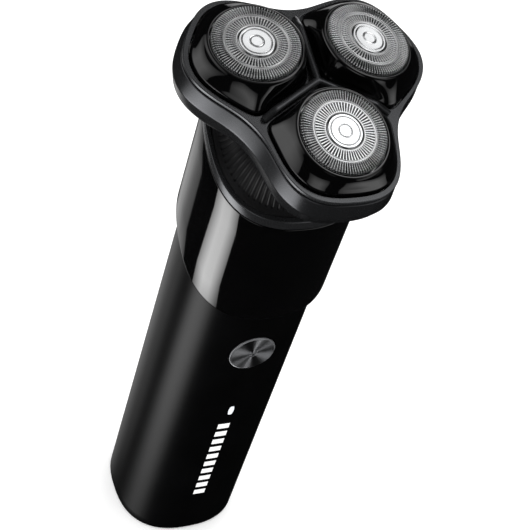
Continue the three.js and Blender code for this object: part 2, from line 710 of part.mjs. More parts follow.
function buildMotor() {
  const screwHoles = (low, high) =>
    [-1, 1].map((side) =>
      rod(MOTOR_SCREW_HOLE, low, high, SMALL_SIDES).translate(side * MOTOR_SCREW_X, 0, 0),
    );
  const mountBottom = MOTOR_MOUNT_TOP_H - MOTOR_MOUNT_THICKNESS;
  const mount = cut(
    rod(MOTOR_MOUNT_RADIUS, mountBottom, MOTOR_MOUNT_TOP_H),
    rod(2, mountBottom - 1, MOTOR_MOUNT_TOP_H + 1, SMALL_SIDES),
    ...screwHoles(mountBottom - 1, MOTOR_MOUNT_TOP_H + 1),
  );
  place(head, 'motor_mount', mount, finish.steel);

  const wall = MOTOR_WALL;
  const can = cut(
    rod(MOTOR_RADIUS, MOTOR_BOTTOM_H, MOTOR_TOP_H),
    rod(MOTOR_RADIUS - wall, MOTOR_BOTTOM_H - 1, MOTOR_TOP_H - wall),
    rod(1.5, MOTOR_TOP_H - 2, MOTOR_TOP_H + 1, SMALL_SIDES),
    ...screwHoles(MOTOR_TOP_H - 2, MOTOR_TOP_H + 1),
  );
  place(head, 'motor_can', can, finish.steel);
  const plug = turned([
    [0, MOTOR_BOTTOM_H + 0.2],
    [MOTOR_RADIUS - wall - GAP, MOTOR_BOTTOM_H + 0.2],
    [MOTOR_RADIUS - wall - GAP, MOTOR_BOTTOM_H + 1.8],
    [0, MOTOR_BOTTOM_H + 1.8],
  ]);
  place(head, 'motor_end_cap', plug, finish.whitePlastic);
  const magnetOuter = MOTOR_RADIUS - wall - GAP;
  const magnets = turnedRing([
    [magnetOuter - MAGNET_THICKNESS, MOTOR_BOTTOM_H + MAGNET_END_ROOM],
    [magnetOuter, MOTOR_BOTTOM_H + MAGNET_END_ROOM],
    [magnetOuter, MOTOR_TOP_H - MAGNET_END_ROOM],
    [magnetOuter - MAGNET_THICKNESS, MOTOR_TOP_H - MAGNET_END_ROOM],
  ]);
  place(head, 'motor_magnet_ring', magnets, finish.chip);
  for (const [name, side] of [['left', -1], ['right', 1]]) {
    const corners = [
      [0, MOTOR_TOP_H - 1.9],
      [0.75, MOTOR_TOP_H - 1.9],
      [0.75, MOTOR_MOUNT_TOP_H + 0.1],
      [1.4, MOTOR_MOUNT_TOP_H + 0.1],
      [1.4, MOTOR_MOUNT_TOP_H + 0.9],
      [0, MOTOR_MOUNT_TOP_H + 1],
    ];
    const screw = place(head, `motor_screw_${name}`, turned(corners, 12), finish.brightSteel);
    screw.position.x = side * MOTOR_SCREW_X;
  }

  const rotorRadius = magnetOuter - MAGNET_THICKNESS - ROTOR_AIR_GAP;
  const rotor = turnedRing([
    [MOTOR_SHAFT_RADIUS + RUN_GAP, MOTOR_BOTTOM_H + ROTOR_END_ROOM],
    [rotorRadius, MOTOR_BOTTOM_H + ROTOR_END_ROOM],
    [rotorRadius, MOTOR_TOP_H - ROTOR_END_ROOM],
    [MOTOR_SHAFT_RADIUS + RUN_GAP, MOTOR_TOP_H - ROTOR_END_ROOM],
  ]);
  place(head, 'motor_rotor', rotor, finish.brass);
  const shaft = rod(MOTOR_SHAFT_RADIUS, MOTOR_BOTTOM_H + 2.1, COUPLING_TOP_H - 2, SMALL_SIDES);
  place(head, 'motor_shaft', shaft, finish.brightSteel);
  const coupling = cut(
    rod(COUPLING_RADIUS, COUPLING_BOTTOM_H, COUPLING_TOP_H, 6),
    rod(MOTOR_SHAFT_RADIUS + RUN_GAP, COUPLING_BOTTOM_H - 1, COUPLING_TOP_H - 1.5, SMALL_SIDES),
  );
  place(head, 'drive_coupling', coupling, finish.whitePlastic);
}

// ---------- head base and gears ----------

const STEM_RADIUS = 3.4;
const SPIGOT_RADIUS = NECK_BORE - 0.35;
const PLATE_SCREW_RADIUS = headRadius(Math.PI / 3, -SKIRT_INSET) - 2.9;
const PLATE_SCREW_ANGLES = [-30, 90, 210];
const PLATE_SCREW_BOSS = 1.9;
const PLATE_SCREW_HOLE = 1.1;
const PLATE_SCREW_SHANK = 0.8;
const PLATE_SCREW_HEAD = 1.6;
const CENTRAL_PIN_RADIUS = 1.2;

function plateScrewPlaces() {
  return PLATE_SCREW_ANGLES.map((degrees) =>
    polar(PLATE_SCREW_RADIUS, THREE.MathUtils.degToRad(degrees)),
  );
}

function headBase() {
  const outer = loft([
    roundRing(10, BASE_UNDERSIDE_H, HEAD_SIDES),
    headRing(-6, BASE_UNDERSIDE_H + 0.2),
    headRing(-2.6, BASE_UNDERSIDE_H + 1.1),
    headRing(-0.7, -15.2),
    headRing(0.5, -13),
    headRing(1, -11),
    headRing(0.6, -8.6),
    headRing(0, BASE_RIM_H),
  ]);
  const ledge = GEAR_PLATE_BOTTOM_H - GAP;
  const inset = SKIRT_INSET - GAP;
  const cavity = loft([
    headRing(-inset - 0.8, BASE_FLOOR_H),
    headRing(-inset - 0.6, ledge - 0.1),
    headRing(-inset, ledge),
    headRing(-inset, BASE_RIM_H + 1),
  ]);
  const bosses = plateScrewPlaces().map(({ x, y }) =>
    rod(PLATE_SCREW_BOSS, BASE_FLOOR_H - 0.5, ledge, SMALL_SIDES).translate(x, y, 0),
  );
  const pilots = plateScrewPlaces().map(({ x, y }) =>
    rod(PLATE_SCREW_HOLE, BASE_FLOOR_H + 0.5, ledge + 1, SMALL_SIDES).translate(x, y, 0),
  );
  const spigot = rod(SPIGOT_RADIUS, BASE_UNDERSIDE_H - 3.5, BASE_UNDERSIDE_H + 0.5);
  const bore = rod(STEM_RADIUS + GAP, BASE_UNDERSIDE_H - 5, BASE_FLOOR_H + 1);
  return cut(join(cut(outer, cavity), spigot, ...bosses), ...pilots, bore);
}

function gearPlate() {
  const inset = SKIRT_INSET + 0.1;
  const plate = loft([headRing(-inset, GEAR_PLATE_BOTTOM_H), headRing(-inset, GEAR_PLATE_TOP_H)]);
  const low = GEAR_PLATE_BOTTOM_H - 1;
  const high = GEAR_PLATE_TOP_H + 1;
  const spindles = Object.values(LOBE_ANGLES).map((degrees) => {
    const { x, y } = polar(GEAR_CENTRE, THREE.MathUtils.degToRad(degrees));
    return rod(SPINDLE_RADIUS + GAP, low, high, SMALL_SIDES).translate(x, y, 0);
  });
  const screws = plateScrewPlaces().map(({ x, y }) =>
    rod(PLATE_SCREW_HOLE, low, high, SMALL_SIDES).translate(x, y, 0),
  );
  const pinHole = rod(CENTRAL_PIN_RADIUS + GAP, low, high, SMALL_SIDES);
  return cut(plate, ...spindles, ...screws, pinHole);
}

function centralGear() {
  const gear = extrudeShape(gearPoints(CENTRAL_TEETH), GEAR_BOTTOM_H, GEAR_TOP_H);
  const stemBottom = BASE_UNDERSIDE_H - 2;
  const stem = rod(STEM_RADIUS, stemBottom, GEAR_BOTTOM_H + 0.5);
  const pin = rod(CENTRAL_PIN_RADIUS, GEAR_TOP_H - 0.5, GEAR_PLATE_TOP_H - 0.4, SMALL_SIDES);
  const socket = rod(COUPLING_RADIUS + 0.4, stemBottom - 1, COUPLING_TOP_H + 0.5, 6);
  return cut(join(gear, stem, pin), socket);
}

// A driven gear about its own axis, turned so that a gap faces the central gear.
function drivenGear() {
  const points = gearPoints(DRIVEN_TEETH);
  const gear = extrudeShape(points, GEAR_BOTTOM_H, GEAR_TOP_H);
  gear.rotateZ(DRIVEN_TEETH % 2 === 0 ? Math.PI / DRIVEN_TEETH : 0);
  return cut(gear, rod(SPINDLE_RADIUS + RUN_GAP, GEAR_BOTTOM_H - 1, GEAR_TOP_H + 1, SMALL_SIDES));
}

const SPINDLE_COLLAR_H = -6.6;
const SPINDLE_COLLAR_RADIUS = 2.6;
const SPINDLE_NECK_RADIUS = 1.2;
const SPINDLE_TIP_H = POD_PIVOT_H + 0.5;

function driveSpindle() {
  return turned(
    [
      [0, BASE_FLOOR_H + GAP],
      [SPINDLE_RADIUS, BASE_FLOOR_H + GAP],
      [SPINDLE_RADIUS, SPINDLE_COLLAR_H - 0.6],
      [SPINDLE_COLLAR_RADIUS, SPINDLE_COLLAR_H - 0.6],
      [SPINDLE_COLLAR_RADIUS, SPINDLE_COLLAR_H],
      [SPINDLE_NECK_RADIUS, SPINDLE_COLLAR_H + 0.2],
      [SPINDLE_NECK_RADIUS, POD_PIVOT_H - 0.2],
      [1.35, POD_PIVOT_H],
      [0.8, SPINDLE_TIP_H],
      [0, SPINDLE_TIP_H],
    ],
    SMALL_SIDES,
  );
}

const SPRING_WIRE_RADIUS = 0.25;
const SPRING_RADIUS = 2.2;
const SPRING_TURNS = 3;

// The spring on a spindle, a round wire wound between the gear plate and the spindle's collar.
function spindleSpring() {
  const wire = SPRING_WIRE_RADIUS;
  const low = GEAR_PLATE_TOP_H + GAP + wire;
  const high = SPINDLE_COLLAR_H - 0.6 - GAP - wire;
  class Helix extends THREE.Curve {
    getPoint(t, target = new THREE.Vector3()) {
      const angle = 2 * Math.PI * SPRING_TURNS * t;
      return target.set(
        SPRING_RADIUS * Math.cos(angle),
        SPRING_RADIUS * Math.sin(angle),
        low + (high - low) * t,
      );
    }
  }
  const section = new THREE.Shape().absarc(0, 0, wire, 0, 2 * Math.PI, false);
  return new THREE.ExtrudeGeometry(section, {
    steps: 8 * SPRING_TURNS,
    extrudePath: new Helix(),
    curveSegments: 2,
    bevelEnabled: false,
  });
}

function buildGears() {
  place(head, 'head_base', headBase(), finish.satinDark);
  place(head, 'gear_plate', gearPlate(), finish.whitePlastic);
  plateScrewPlaces().forEach(({ x, y }, number) => {
    const corners = [
      [0, BASE_FLOOR_H + 1],
      [PLATE_SCREW_SHANK, BASE_FLOOR_H + 1],
      [PLATE_SCREW_SHANK, GEAR_PLATE_TOP_H + 0.05],
      [PLATE_SCREW_HEAD, GEAR_PLATE_TOP_H + 0.05],
      [PLATE_SCREW_HEAD, GEAR_PLATE_TOP_H + 0.5],
      [0, GEAR_PLATE_TOP_H + 0.6],
    ];
    const screw = place(head, `plate_screw_${number + 1}`, turned(corners, 12), finish.brightSteel);
    screw.position.set(x, y, 0);
  });
  place(head, 'central_gear', centralGear(), finish.whitePlastic);
  for (const [lobe, degrees] of Object.entries(LOBE_ANGLES)) {
    const angle = THREE.MathUtils.degToRad(degrees);
    const station = new THREE.Group();
    station.position.set(GEAR_CENTRE * Math.cos(angle), GEAR_CENTRE * Math.sin(angle), 0);
    station.rotation.z = angle;
    head.add(station);
    place(station, `drive_gear_${lobe}`, drivenGear(), finish.whitePlastic);
    place(station, `drive_spindle_${lobe}`, driveSpindle(), finish.whitePlastic);
    place(station, `spindle_spring_${lobe}`, spindleSpring(), finish.brightSteel);
  }
}

// ---------- head cover, pods and cutters ----------

function headFrame() {
  const blank = loft([
    headRing(-SKIRT_INSET, SKIRT_BOTTOM_H),
    headRing(-SKIRT_INSET, FRAME_BOTTOM_H),
    headRing(0, FRAME_BOTTOM_H),
    headRing(0, FRAME_TOP_H - 0.4),
    headRing(-0.15, FRAME_TOP_H - 0.15),
    headRing(-0.5, FRAME_TOP_H),
  ]);
  const inside = SKIRT_INSET + SKIRT_WALL;
  const under = loft([
    headRing(-inside, SKIRT_BOTTOM_H - 1),
    headRing(-inside, FRAME_TOP_H - FRAME_PLATE),
  ]);
  const openings = Object.values(LOBE_ANGLES).map((degrees) => {
    const hole = loft([podRing(0.4, SKIRT_BOTTOM_H), podRing(0.4, FRAME_TOP_H + 2)]);
    return hole.rotateZ(THREE.MathUtils.degToRad(degrees));
  });
  return cut(blank, under, ...openings);
}

// Three narrow bars that meet over the head's centre and lie in the channels between the pods.
function centreBridge() {
  const half = CHANNEL_HALF_WIDTH - 0.5;
  const reach = headRadius(Math.PI / 3, -2.6);
  const bars = PLATE_SCREW_ANGLES.map((degrees) => {
    const bar = box([0, reach], [-half, half], [FRAME_TOP_H + GAP, POD_EDGE_H + 1]);
    return bar.rotateZ(THREE.MathUtils.degToRad(degrees));
  });
  return join(...bars, rod(half * 1.3, FRAME_TOP_H + GAP, POD_EDGE_H + 1.4, SMALL_SIDES));
}

const RETAINER_THICKNESS = 0.9;

function cutterRetainer() {
  const inset = SKIRT_INSET + SKIRT_WALL + GAP;
  const low = SKIRT_BOTTOM_H + 0.2;
  const plate = loft([headRing(-inset, low), headRing(-inset, low + RETAINER_THICKNESS)]);
  const holes = Object.values(LOBE_ANGLES).map((degrees) => {
    const { x, y } = polar(GEAR_CENTRE, THREE.MathUtils.degToRad(degrees));
    return rod(CUTTER_RADIUS * 0.8, low - 1, low + 2).translate(x, y, 0);
  });
  return cut(plate, ...holes);
}

function pod() {
  const recess = CUTTER_RADIUS + 1;
  const outlineTop = podRing(-0.45, POD_EDGE_H + 0.5);
  const shoulder = tiltedRing(CAP_BORE + COLLAR_BAND, -0.8);
  return loft(
    [
      podRing(0, POD_BOTTOM_H),
      podRing(0, POD_EDGE_H),
      outlineTop,
      blendRings(outlineTop, shoulder, 0.35, 0.45),
      blendRings(outlineTop, shoulder, 0.7, 0.45),
      shoulder,
      tiltedRing(CAP_BORE + 0.25, -0.6),
      tiltedRing(CAP_BORE, -0.75),
      tiltedRing(CAP_BORE, -2.6),
      tiltedRing(recess, -2.6),
      roundRing(recess, POD_BOTTOM_H, POD_SIDES).map(
        (point) => point.add(new THREE.Vector3(POD_CENTRE + POD_BOTTOM_H * Math.sin(POD_TILT), 0, 0)),
      ),
    ],
    true,
  );
}

// The slotted cap, a thin steel cup with a rim flange under the pod's collar.
function cutterCap() {
  const wall = CUTTER_CAP_WALL;
  const flange = CUTTER_RADIUS + 0.7;
  const seat = CAP_HUB_RADIUS + 0.2;
  return turned(
    [
      [0, -0.6 - wall],
      [seat, -0.6 - wall],
      [seat + 0.3, -wall],
      [CUTTER_RADIUS - wall, -wall],
      [CUTTER_RADIUS - wall, -3.5],
      [flange, -3.5],
      [flange, -3],
      [CUTTER_RADIUS, -3],
      [CUTTER_RADIUS, 0],
      [seat, 0],
      [seat, -0.6],
      [0, -0.6],
    ],
    24,
  );
}

function capHub() {
  const radius = CAP_HUB_RADIUS - 0.1;
  return turned([
    [0, -0.5],
    [radius, -0.5],
    [radius, -0.05],
    [radius - 0.3, 0.15],
    [0, 0.15],
  ]);
}

const BLADE_COUNT = 9;
const BLADE_HALF_THICKNESS = 0.3;
const BLADE_INNER_RADIUS = CAP_HUB_RADIUS + 1.41; // clear of the cap's sunken middle
const CUTTER_DISC_TOP_H = -2.6;
const CUTTER_HUB_RADIUS = 3.2;
const CUTTER_HUB_BORE = 1.9;

// The rotary cutter: a hub and a disc that carry a ring of upright blades.
function rotaryCutter() {
  const top = -CUTTER_CAP_WALL - 0.35;
  const disc = turnedRing([
    [CUTTER_HUB_BORE, POD_PIVOT_H - 0.8],
    [CUTTER_HUB_RADIUS, POD_PIVOT_H - 0.8],
    [CUTTER_HUB_RADIUS, CUTTER_DISC_TOP_H - 0.8],
    [CUTTER_RADIUS - 1.2, CUTTER_DISC_TOP_H - 0.6],
    [CUTTER_RADIUS - 1.2, CUTTER_DISC_TOP_H],
    [CUTTER_HUB_BORE, CUTTER_DISC_TOP_H],
  ]);
  const lid = rod(CUTTER_HUB_BORE + 0.5, CUTTER_DISC_TOP_H - 0.5, CUTTER_DISC_TOP_H, SMALL_SIDES);
  const fins = [];
  for (let i = 0; i < BLADE_COUNT; i += 1) {
    const fin = box(
      [BLADE_INNER_RADIUS, CUTTER_RADIUS - 1.3],
      [-BLADE_HALF_THICKNESS, BLADE_HALF_THICKNESS],
      [CUTTER_DISC_TOP_H - 0.2, top],
    );
    fins.push(fin.rotateZ((2 * Math.PI * i) / BLADE_COUNT));
  }
  return join(disc, lid, ...fins);
}

function buildCover() {
  place(head, 'head_frame', headFrame(), finish.satinGrey);
  place(head, 'centre_bridge', centreBridge(), finish.satinDark);
  place(head, 'cutter_retainer', cutterRetainer(), finish.mattBlack);
  for (const [lobe, degrees] of Object.entries(LOBE_ANGLES)) {
    const arm = new THREE.Group();
    arm.rotation.z = THREE.MathUtils.degToRad(degrees);
    head.add(arm);
    place(arm, `pod_${lobe}`, pod(), finish.glossBlack);
    const tilted = new THREE.Group();
    tilted.position.x = POD_CENTRE;
    tilted.rotation.y = POD_TILT;
    arm.add(tilted);
    place(tilted, `cutter_cap_${lobe}`, cutterCap(), finish.steel);
    place(tilted, `cap_hub_${lobe}`, capHub(), finish.brightSteel);
    place(tilted, `rotary_cutter_${lobe}`, rotaryCutter(), finish.steel);
  }
}

buildGrip();
buildElectronics();
buildButton();
buildCollar();
buildNeck();
buildMotor();
buildGears();
buildCover();

export default shaver;
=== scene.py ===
# %% [markdown]
# # An upright rotary shaver
# The shaver is a squarish black grip with a round metal button, a glossy collar cut on the slant, a
# ribbed shoulder and a three-lobed head that leans forward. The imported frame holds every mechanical
# piece in place. Here the pieces that show get finer surfaces, and all of them get their finishes.

# %% Load the frame
import json
import math

import bmesh
import bpy
import numpy as np
from mathutils import Matrix, Vector

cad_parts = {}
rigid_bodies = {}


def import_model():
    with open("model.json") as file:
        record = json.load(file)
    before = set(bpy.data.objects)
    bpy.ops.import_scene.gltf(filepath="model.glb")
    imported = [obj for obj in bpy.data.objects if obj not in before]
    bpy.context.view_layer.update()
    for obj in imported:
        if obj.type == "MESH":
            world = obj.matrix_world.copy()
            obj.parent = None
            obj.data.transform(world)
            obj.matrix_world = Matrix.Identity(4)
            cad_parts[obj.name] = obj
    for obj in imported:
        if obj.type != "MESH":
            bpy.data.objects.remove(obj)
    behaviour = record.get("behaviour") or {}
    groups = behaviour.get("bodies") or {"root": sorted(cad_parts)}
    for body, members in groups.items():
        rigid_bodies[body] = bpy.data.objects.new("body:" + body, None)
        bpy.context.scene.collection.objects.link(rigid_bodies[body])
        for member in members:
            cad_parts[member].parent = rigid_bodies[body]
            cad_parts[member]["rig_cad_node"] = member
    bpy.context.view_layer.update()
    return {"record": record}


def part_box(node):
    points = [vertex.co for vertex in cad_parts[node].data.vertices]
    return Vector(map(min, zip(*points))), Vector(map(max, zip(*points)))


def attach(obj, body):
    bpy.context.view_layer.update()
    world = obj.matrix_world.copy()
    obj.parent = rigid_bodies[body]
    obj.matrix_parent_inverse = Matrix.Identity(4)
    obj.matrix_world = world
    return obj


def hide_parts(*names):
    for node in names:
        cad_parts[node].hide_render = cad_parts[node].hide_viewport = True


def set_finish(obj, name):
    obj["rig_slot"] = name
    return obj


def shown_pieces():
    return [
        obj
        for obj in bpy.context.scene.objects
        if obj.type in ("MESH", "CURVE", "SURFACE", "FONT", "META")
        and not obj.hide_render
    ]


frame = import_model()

MM = 0.001

# %% [markdown]
# ## The camera
# A product shot of a tall thin object is usually taken with a long lens from a little above. The
# camera is set by its place and its three axes, which is the plainest way to give an exact view: the
# columns of its matrix are where its right, its up and its back point.

# %% Camera
CAMERA_PLACE = Vector((-131.291, -202.270, 343.852)) * MM
CAMERA_RIGHT = Vector((0.91203, -0.33289, 0.23956))
CAMERA_UP = Vector((0.09464, 0.73917, 0.66684))
CAMERA_BACK = CAMERA_RIGHT.cross(CAMERA_UP).normalized()
CAMERA_UP = CAMERA_BACK.cross(CAMERA_RIGHT).normalized()
camera = bpy.data.objects.new("camera", bpy.data.cameras.new("camera"))
camera.data.sensor_width = 36
camera.data.lens = 88.82
camera.data.clip_start = 0.01
camera.matrix_world = Matrix.Translation(CAMERA_PLACE) @ Matrix(
    (CAMERA_RIGHT, CAMERA_UP, CAMERA_BACK)
).transposed().to_4x4()
bpy.context.scene.collection.objects.link(camera)
bpy.context.scene.camera = camera
print("camera looks along", [round(-x, 3) for x in CAMERA_BACK])

# %% [markdown]
# ## Sizes that the pieces share
# These are the sizes of the frame, in millimetres, given so that the fine surfaces sit where the mechanical
# ones are. The button's height and front are read from its node's box, so it sits exactly on the mechanical
# one.

# %% Sizes
GRIP_HALF_WIDTH = 18.5
GRIP_HALF_DEPTH = 18.0
GRIP_SQUARENESS = 2.47
GRIP_FLARE = 0.27
GRIP_WALL = 1.8
GRIP_LENGTH = 112.4
GRIP_TONGUE = 9
COLLAR_LENGTH = 35
COLLAR_STEP = 1.8
COLLAR_WALL = 1.5
CUT_SLOPE = 0.505
RING_SLOPE = 0.477
RING_HEIGHT = 2.4
RING_WIDTH = 1.2
RING_Z = GRIP_LENGTH + COLLAR_LENGTH
GAP = 0.3
HEAD_TILT = 0.2491
HEAD_PLACE = np.array([0, -5.64, RING_Z + 24.6])
LOBES = {"front": -90, "right": 30, "left": 150}
WAISTS = (-30, 90, 210)
POD_CENTRE = 16.157
POD_TILT = 0.104
CUTTER_RADIUS = 10.17
CAP_BORE = CUTTER_RADIUS + GAP + 0.03
BUTTON_RADIUS = 6.35
LIGHT_Z = 61
button_low, button_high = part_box("power_button")
BUTTON_Z = (button_low.z + button_high.z) / 2 / MM
BUTTON_FRONT_Y = button_low.y / MM
print("button height", round(BUTTON_Z, 2), " trim ring height", RING_Z)

# %% [markdown]
# ## From arrays to meshes
# Every fine surface below is a grid of points: the rows follow a profile and the columns go round.
# A grid that wraps both ways is a closed body. Points that fall together, such as a whole row on the
# axis, are merged, and because each body is closed Blender can then turn all its faces outwards.

# %% Mesh helpers
def grid_faces(rows, columns, wrap_rows=False, wrap_columns=True, first=0):
    """Quads between neighbouring rows and columns of a grid, as an array of rows x columns x 4."""
    row = np.arange(rows if wrap_rows else rows - 1)[:, None]
    column = np.arange(columns if wrap_columns else columns - 1)[None, :]
    above = (row + 1) % rows
    beside = (column + 1) % columns
    corners = (
        row * columns + column,
        row * columns + beside,
        above * columns + beside,
        above * columns + column,
    )
    return np.stack(np.broadcast_arrays(*corners), axis=-1) + first


def piece(name, parts, body, slot, replaces=(), crease=38, outward=True):
    """Puts (points, quads) pairs in one mesh, in metres. Points that coincide are merged, faces that
    shrink to nothing go, and where outward is set the closed body's faces are turned to the outside."""
    points, quads, count = [], [], 0
    for part_points, part_quads in parts:
        part_points = np.asarray(part_points, float).reshape(-1, 3)
        points.append(part_points)
        quads.append(np.asarray(part_quads).reshape(-1, 4) + count)
        count += len(part_points)
    mesh = bpy.data.meshes.new(name)
    mesh.from_pydata((np.vstack(points) * MM).tolist(), [], np.vstack(quads).tolist())
    work = bmesh.new()
    work.from_mesh(mesh)
    bmesh.ops.remove_doubles(work, verts=work.verts, dist=2e-7)
    loose = [v for v in work.verts if not v.link_faces]
    bmesh.ops.delete(work, geom=loose, context="VERTS")
    if outward:
        bmesh.ops.recalc_face_normals(work, faces=work.faces)
    open_edges = sum(1 for e in work.edges if len(e.link_faces) != 2)
    work.to_mesh(mesh)
    work.free()
    mesh.shade_smooth()
    mesh.set_sharp_from_angle(angle=math.radians(crease))
    made = bpy.data.objects.new(name, mesh)
    bpy.context.scene.collection.objects.link(made)
    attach(made, body)
    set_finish(made, slot)
    if replaces:
        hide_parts(*replaces)
    print(f"{name}: {len(mesh.polygons)} faces, {open_edges} open edges")
    return made


def tube(points):
    """The one part of a mesh whose grid wraps both ways, as a closed profile carried round does."""
    return [(points, grid_faces(*points.shape[:2], wrap_rows=True))]


def spun(points):
    """The one part of a mesh whose grid wraps round only, with its first and last rows on the axis."""
    return [(points, grid_faces(*points.shape[:2]))]


def soften(corners, radius, steps=5, closed=False):
    """A polyline whose inner corners are rounded: each corner becomes the parabola that leaves and
    reaches its two sides at the given distance from it, or nearer where a side is short."""
    corners = np.array(corners, float)
    radii = np.broadcast_to(radius, len(corners))
    share = np.linspace(0, 1, steps)[:, None]
    done = []
    for i, corner in enumerate(corners):
        if radii[i] == 0 or (not closed and i in (0, len(corners) - 1)):
            done.append(corner[None])
            continue
        before = corners[i - 1] - corner
        after = corners[(i + 1) % len(corners)] - corner
        lengths = np.linalg.norm(before), np.linalg.norm(after)
        reach = min(radii[i], 0.48 * lengths[0], 0.48 * lengths[1])
        start = corner + before / lengths[0] * reach
        end = corner + after / lengths[1] * reach
        done.append((1 - share) ** 2 * start + 2 * share * (1 - share) * corner + share**2 * end)
    return np.vstack(done)


def flowing(points, count):
    """A smooth curve through the points, taken at even steps of length: a cubic from each point to
    the next, whose direction at a point is that of the line between its neighbours."""
    points = np.array(points, float)
    length = np.r_[0, np.cumsum(np.linalg.norm(np.diff(points, axis=0), axis=1))]
    slope = np.gradient(points, length, axis=0)
    at = np.linspace(0, length[-1], count)
    i = np.clip(np.searchsorted(length, at, side="right") - 1, 0, len(points) - 2)
    span = (length[i + 1] - length[i])[:, None]
    t = (at - length[i])[:, None] / span
    return (
        (2 * t**3 - 3 * t**2 + 1) * points[i]
        + (t**3 - 2 * t**2 + t) * span * slope[i]
        + (3 * t**2 - 2 * t**3) * points[i + 1]
        + (t**3 - t**2) * span * slope[i + 1]
    )


def smoothstep(value):
    """Rises from 0 to 1 along three t squared less two t cubed, and stays flat outside."""
    value = np.clip(value, 0, 1)
    return value * value * (3 - 2 * value)


# %% [markdown]
# ## The grip's section
# A hand finds a grip more easily when it isn't quite round. The section here is a superellipse: the
# share of the half width raised to a power, plus the share of the half depth raised to the same
# power, is one. At power 2 it is an ellipse, and the higher the power the squarer it gets.

# %% Section of the grip
def grip_reach(offset, angle):
    """Distance from the axis to the section, set off outwards, in a direction given by its angle."""
    across = np.abs(np.cos(angle) / (GRIP_HALF_WIDTH + offset)) ** GRIP_SQUARENESS
    along = np.abs(np.sin(angle) / (GRIP_HALF_DEPTH + offset)) ** GRIP_SQUARENESS
    return (across + along) ** (-1 / GRIP_SQUARENESS)


def grip_depth(x, offset):
    """Half depth of the section at a distance x from its middle plane."""
    share = np.abs(x / (GRIP_HALF_WIDTH + offset)) ** GRIP_SQUARENESS
    return (GRIP_HALF_DEPTH + offset) * (1 - share) ** (1 / GRIP_SQUARENESS)


def sleeve_grid(profile, angle):
    """Points of a tube with the grip's section. A profile row is (offset, height on the axis, rise
    towards the back), so a row can be level or lie on a slant."""
    offset, height, slope = np.array(profile, float).T[:, :, None]
    reach = grip_reach(offset, angle[None, :])
    x = reach * np.cos(angle)
    y = reach * np.sin(angle)
    return np.stack([x, y, height + slope * y], axis=-1)


ROUND_GRIP = np.linspace(0, 2 * math.pi, 240, endpoint=False)
print("grip section", 2 * GRIP_HALF_WIDTH, "x", 2 * GRIP_HALF_DEPTH, "mm")

# %% [markdown]
# ## The grip shell
# The real grip is one moulded tube with a round hole for the button. A hole in a grid is easiest
# where the grid already runs round it, so in a square window of the front face the grid lines are
# bent: squares near the middle become circles and the outermost square stays where it was. The faces
# inside one of those circles are left out, and the edge is carried through the wall.

# %% Window that bends the grid round an opening
WINDOW_STEPS = 14
WINDOW_HALF_WIDTH = 9.6


def bent_window(ring, hole_half, window_half, bulge):
    """x and z, from the window's middle, of a square grid of points. Along each ray from the middle,
    the ring with that number lies on the opening's edge and the outermost ring on the window's edge,
    with the rings between at even steps. The edge is a circle, plus a straight part that grows evenly
    along the side, which makes a slot with round ends."""
    step = np.linspace(-1, 1, 2 * WINDOW_STEPS + 1)
    a, b = np.meshgrid(step, step)
    size = np.maximum(np.abs(a), np.abs(b))
    size = np.where(size == 0, 1, size)
    across, up = a / size, b / size
    round_off = np.hypot(across, up)
    edge_x = hole_half[0] * across / round_off
    edge_z = hole_half[1] * up / round_off + bulge * up
    share = size * WINDOW_STEPS / ring
    t = np.clip((share - 1) / (WINDOW_STEPS / ring - 1), 0, 1)
    inside = np.minimum(share, 1)
    x = (1 - t) * edge_x * inside + t * across * window_half[0]
    z = (1 - t) * edge_z * inside + t * up * window_half[1]
    middle = (a == 0) & (b == 0)
    return np.where(middle, 0, x), np.where(middle, 0, z)


# %% Grip shell
BASE_EDGE = 1.2
BUTTON_GAP = 0.22
BUTTON_WINDOW_HALF = 9.6
LIGHT_WINDOW_HALF = 5
LIGHT_SLOT_RADIUS = 0.9
LIGHT_SLOT_STRAIGHT = 1.1  # half the length of the slot's straight sides
BACK_COLUMNS = 160
SLANT_START = 98  # where the rows start to lean towards the collar's cut
SLANT_REACH = 14
button_window = dict(
    ring=10,
    hole_half=(BUTTON_RADIUS + BUTTON_GAP,) * 2,
    window_half=(WINDOW_HALF_WIDTH, BUTTON_WINDOW_HALF),
    bulge=0,
)
light_window = dict(
    ring=2,
    hole_half=(LIGHT_SLOT_RADIUS,) * 2,
    window_half=(WINDOW_HALF_WIDTH, LIGHT_WINDOW_HALF),
    bulge=LIGHT_SLOT_STRAIGHT,
)
steps = np.linspace(-1, 1, 2 * WINDOW_STEPS + 1)
edge_rows = flowing([(BASE_EDGE, 0), (0.36, 0.36), (0, BASE_EDGE)], 8)
below_light = np.linspace(BASE_EDGE, LIGHT_Z - LIGHT_WINDOW_HALF, 24)[1:-1]
light_rows = LIGHT_Z + LIGHT_WINDOW_HALF * steps
between = np.linspace(LIGHT_Z + LIGHT_WINDOW_HALF, BUTTON_Z - BUTTON_WINDOW_HALF, 6)[1:-1]
button_rows = BUTTON_Z + BUTTON_WINDOW_HALF * steps
above = np.linspace(BUTTON_Z + BUTTON_WINDOW_HALF, GRIP_LENGTH + GRIP_TONGUE, 12)[1:]
row_z = np.r_[edge_rows[:, 1], below_light, light_rows, between, button_rows, above]
row_inset = np.r_[edge_rows[:, 0], np.zeros(len(row_z) - len(edge_rows))]
light_first = len(edge_rows) + len(below_light)
button_first = light_first + len(light_rows) + len(between)


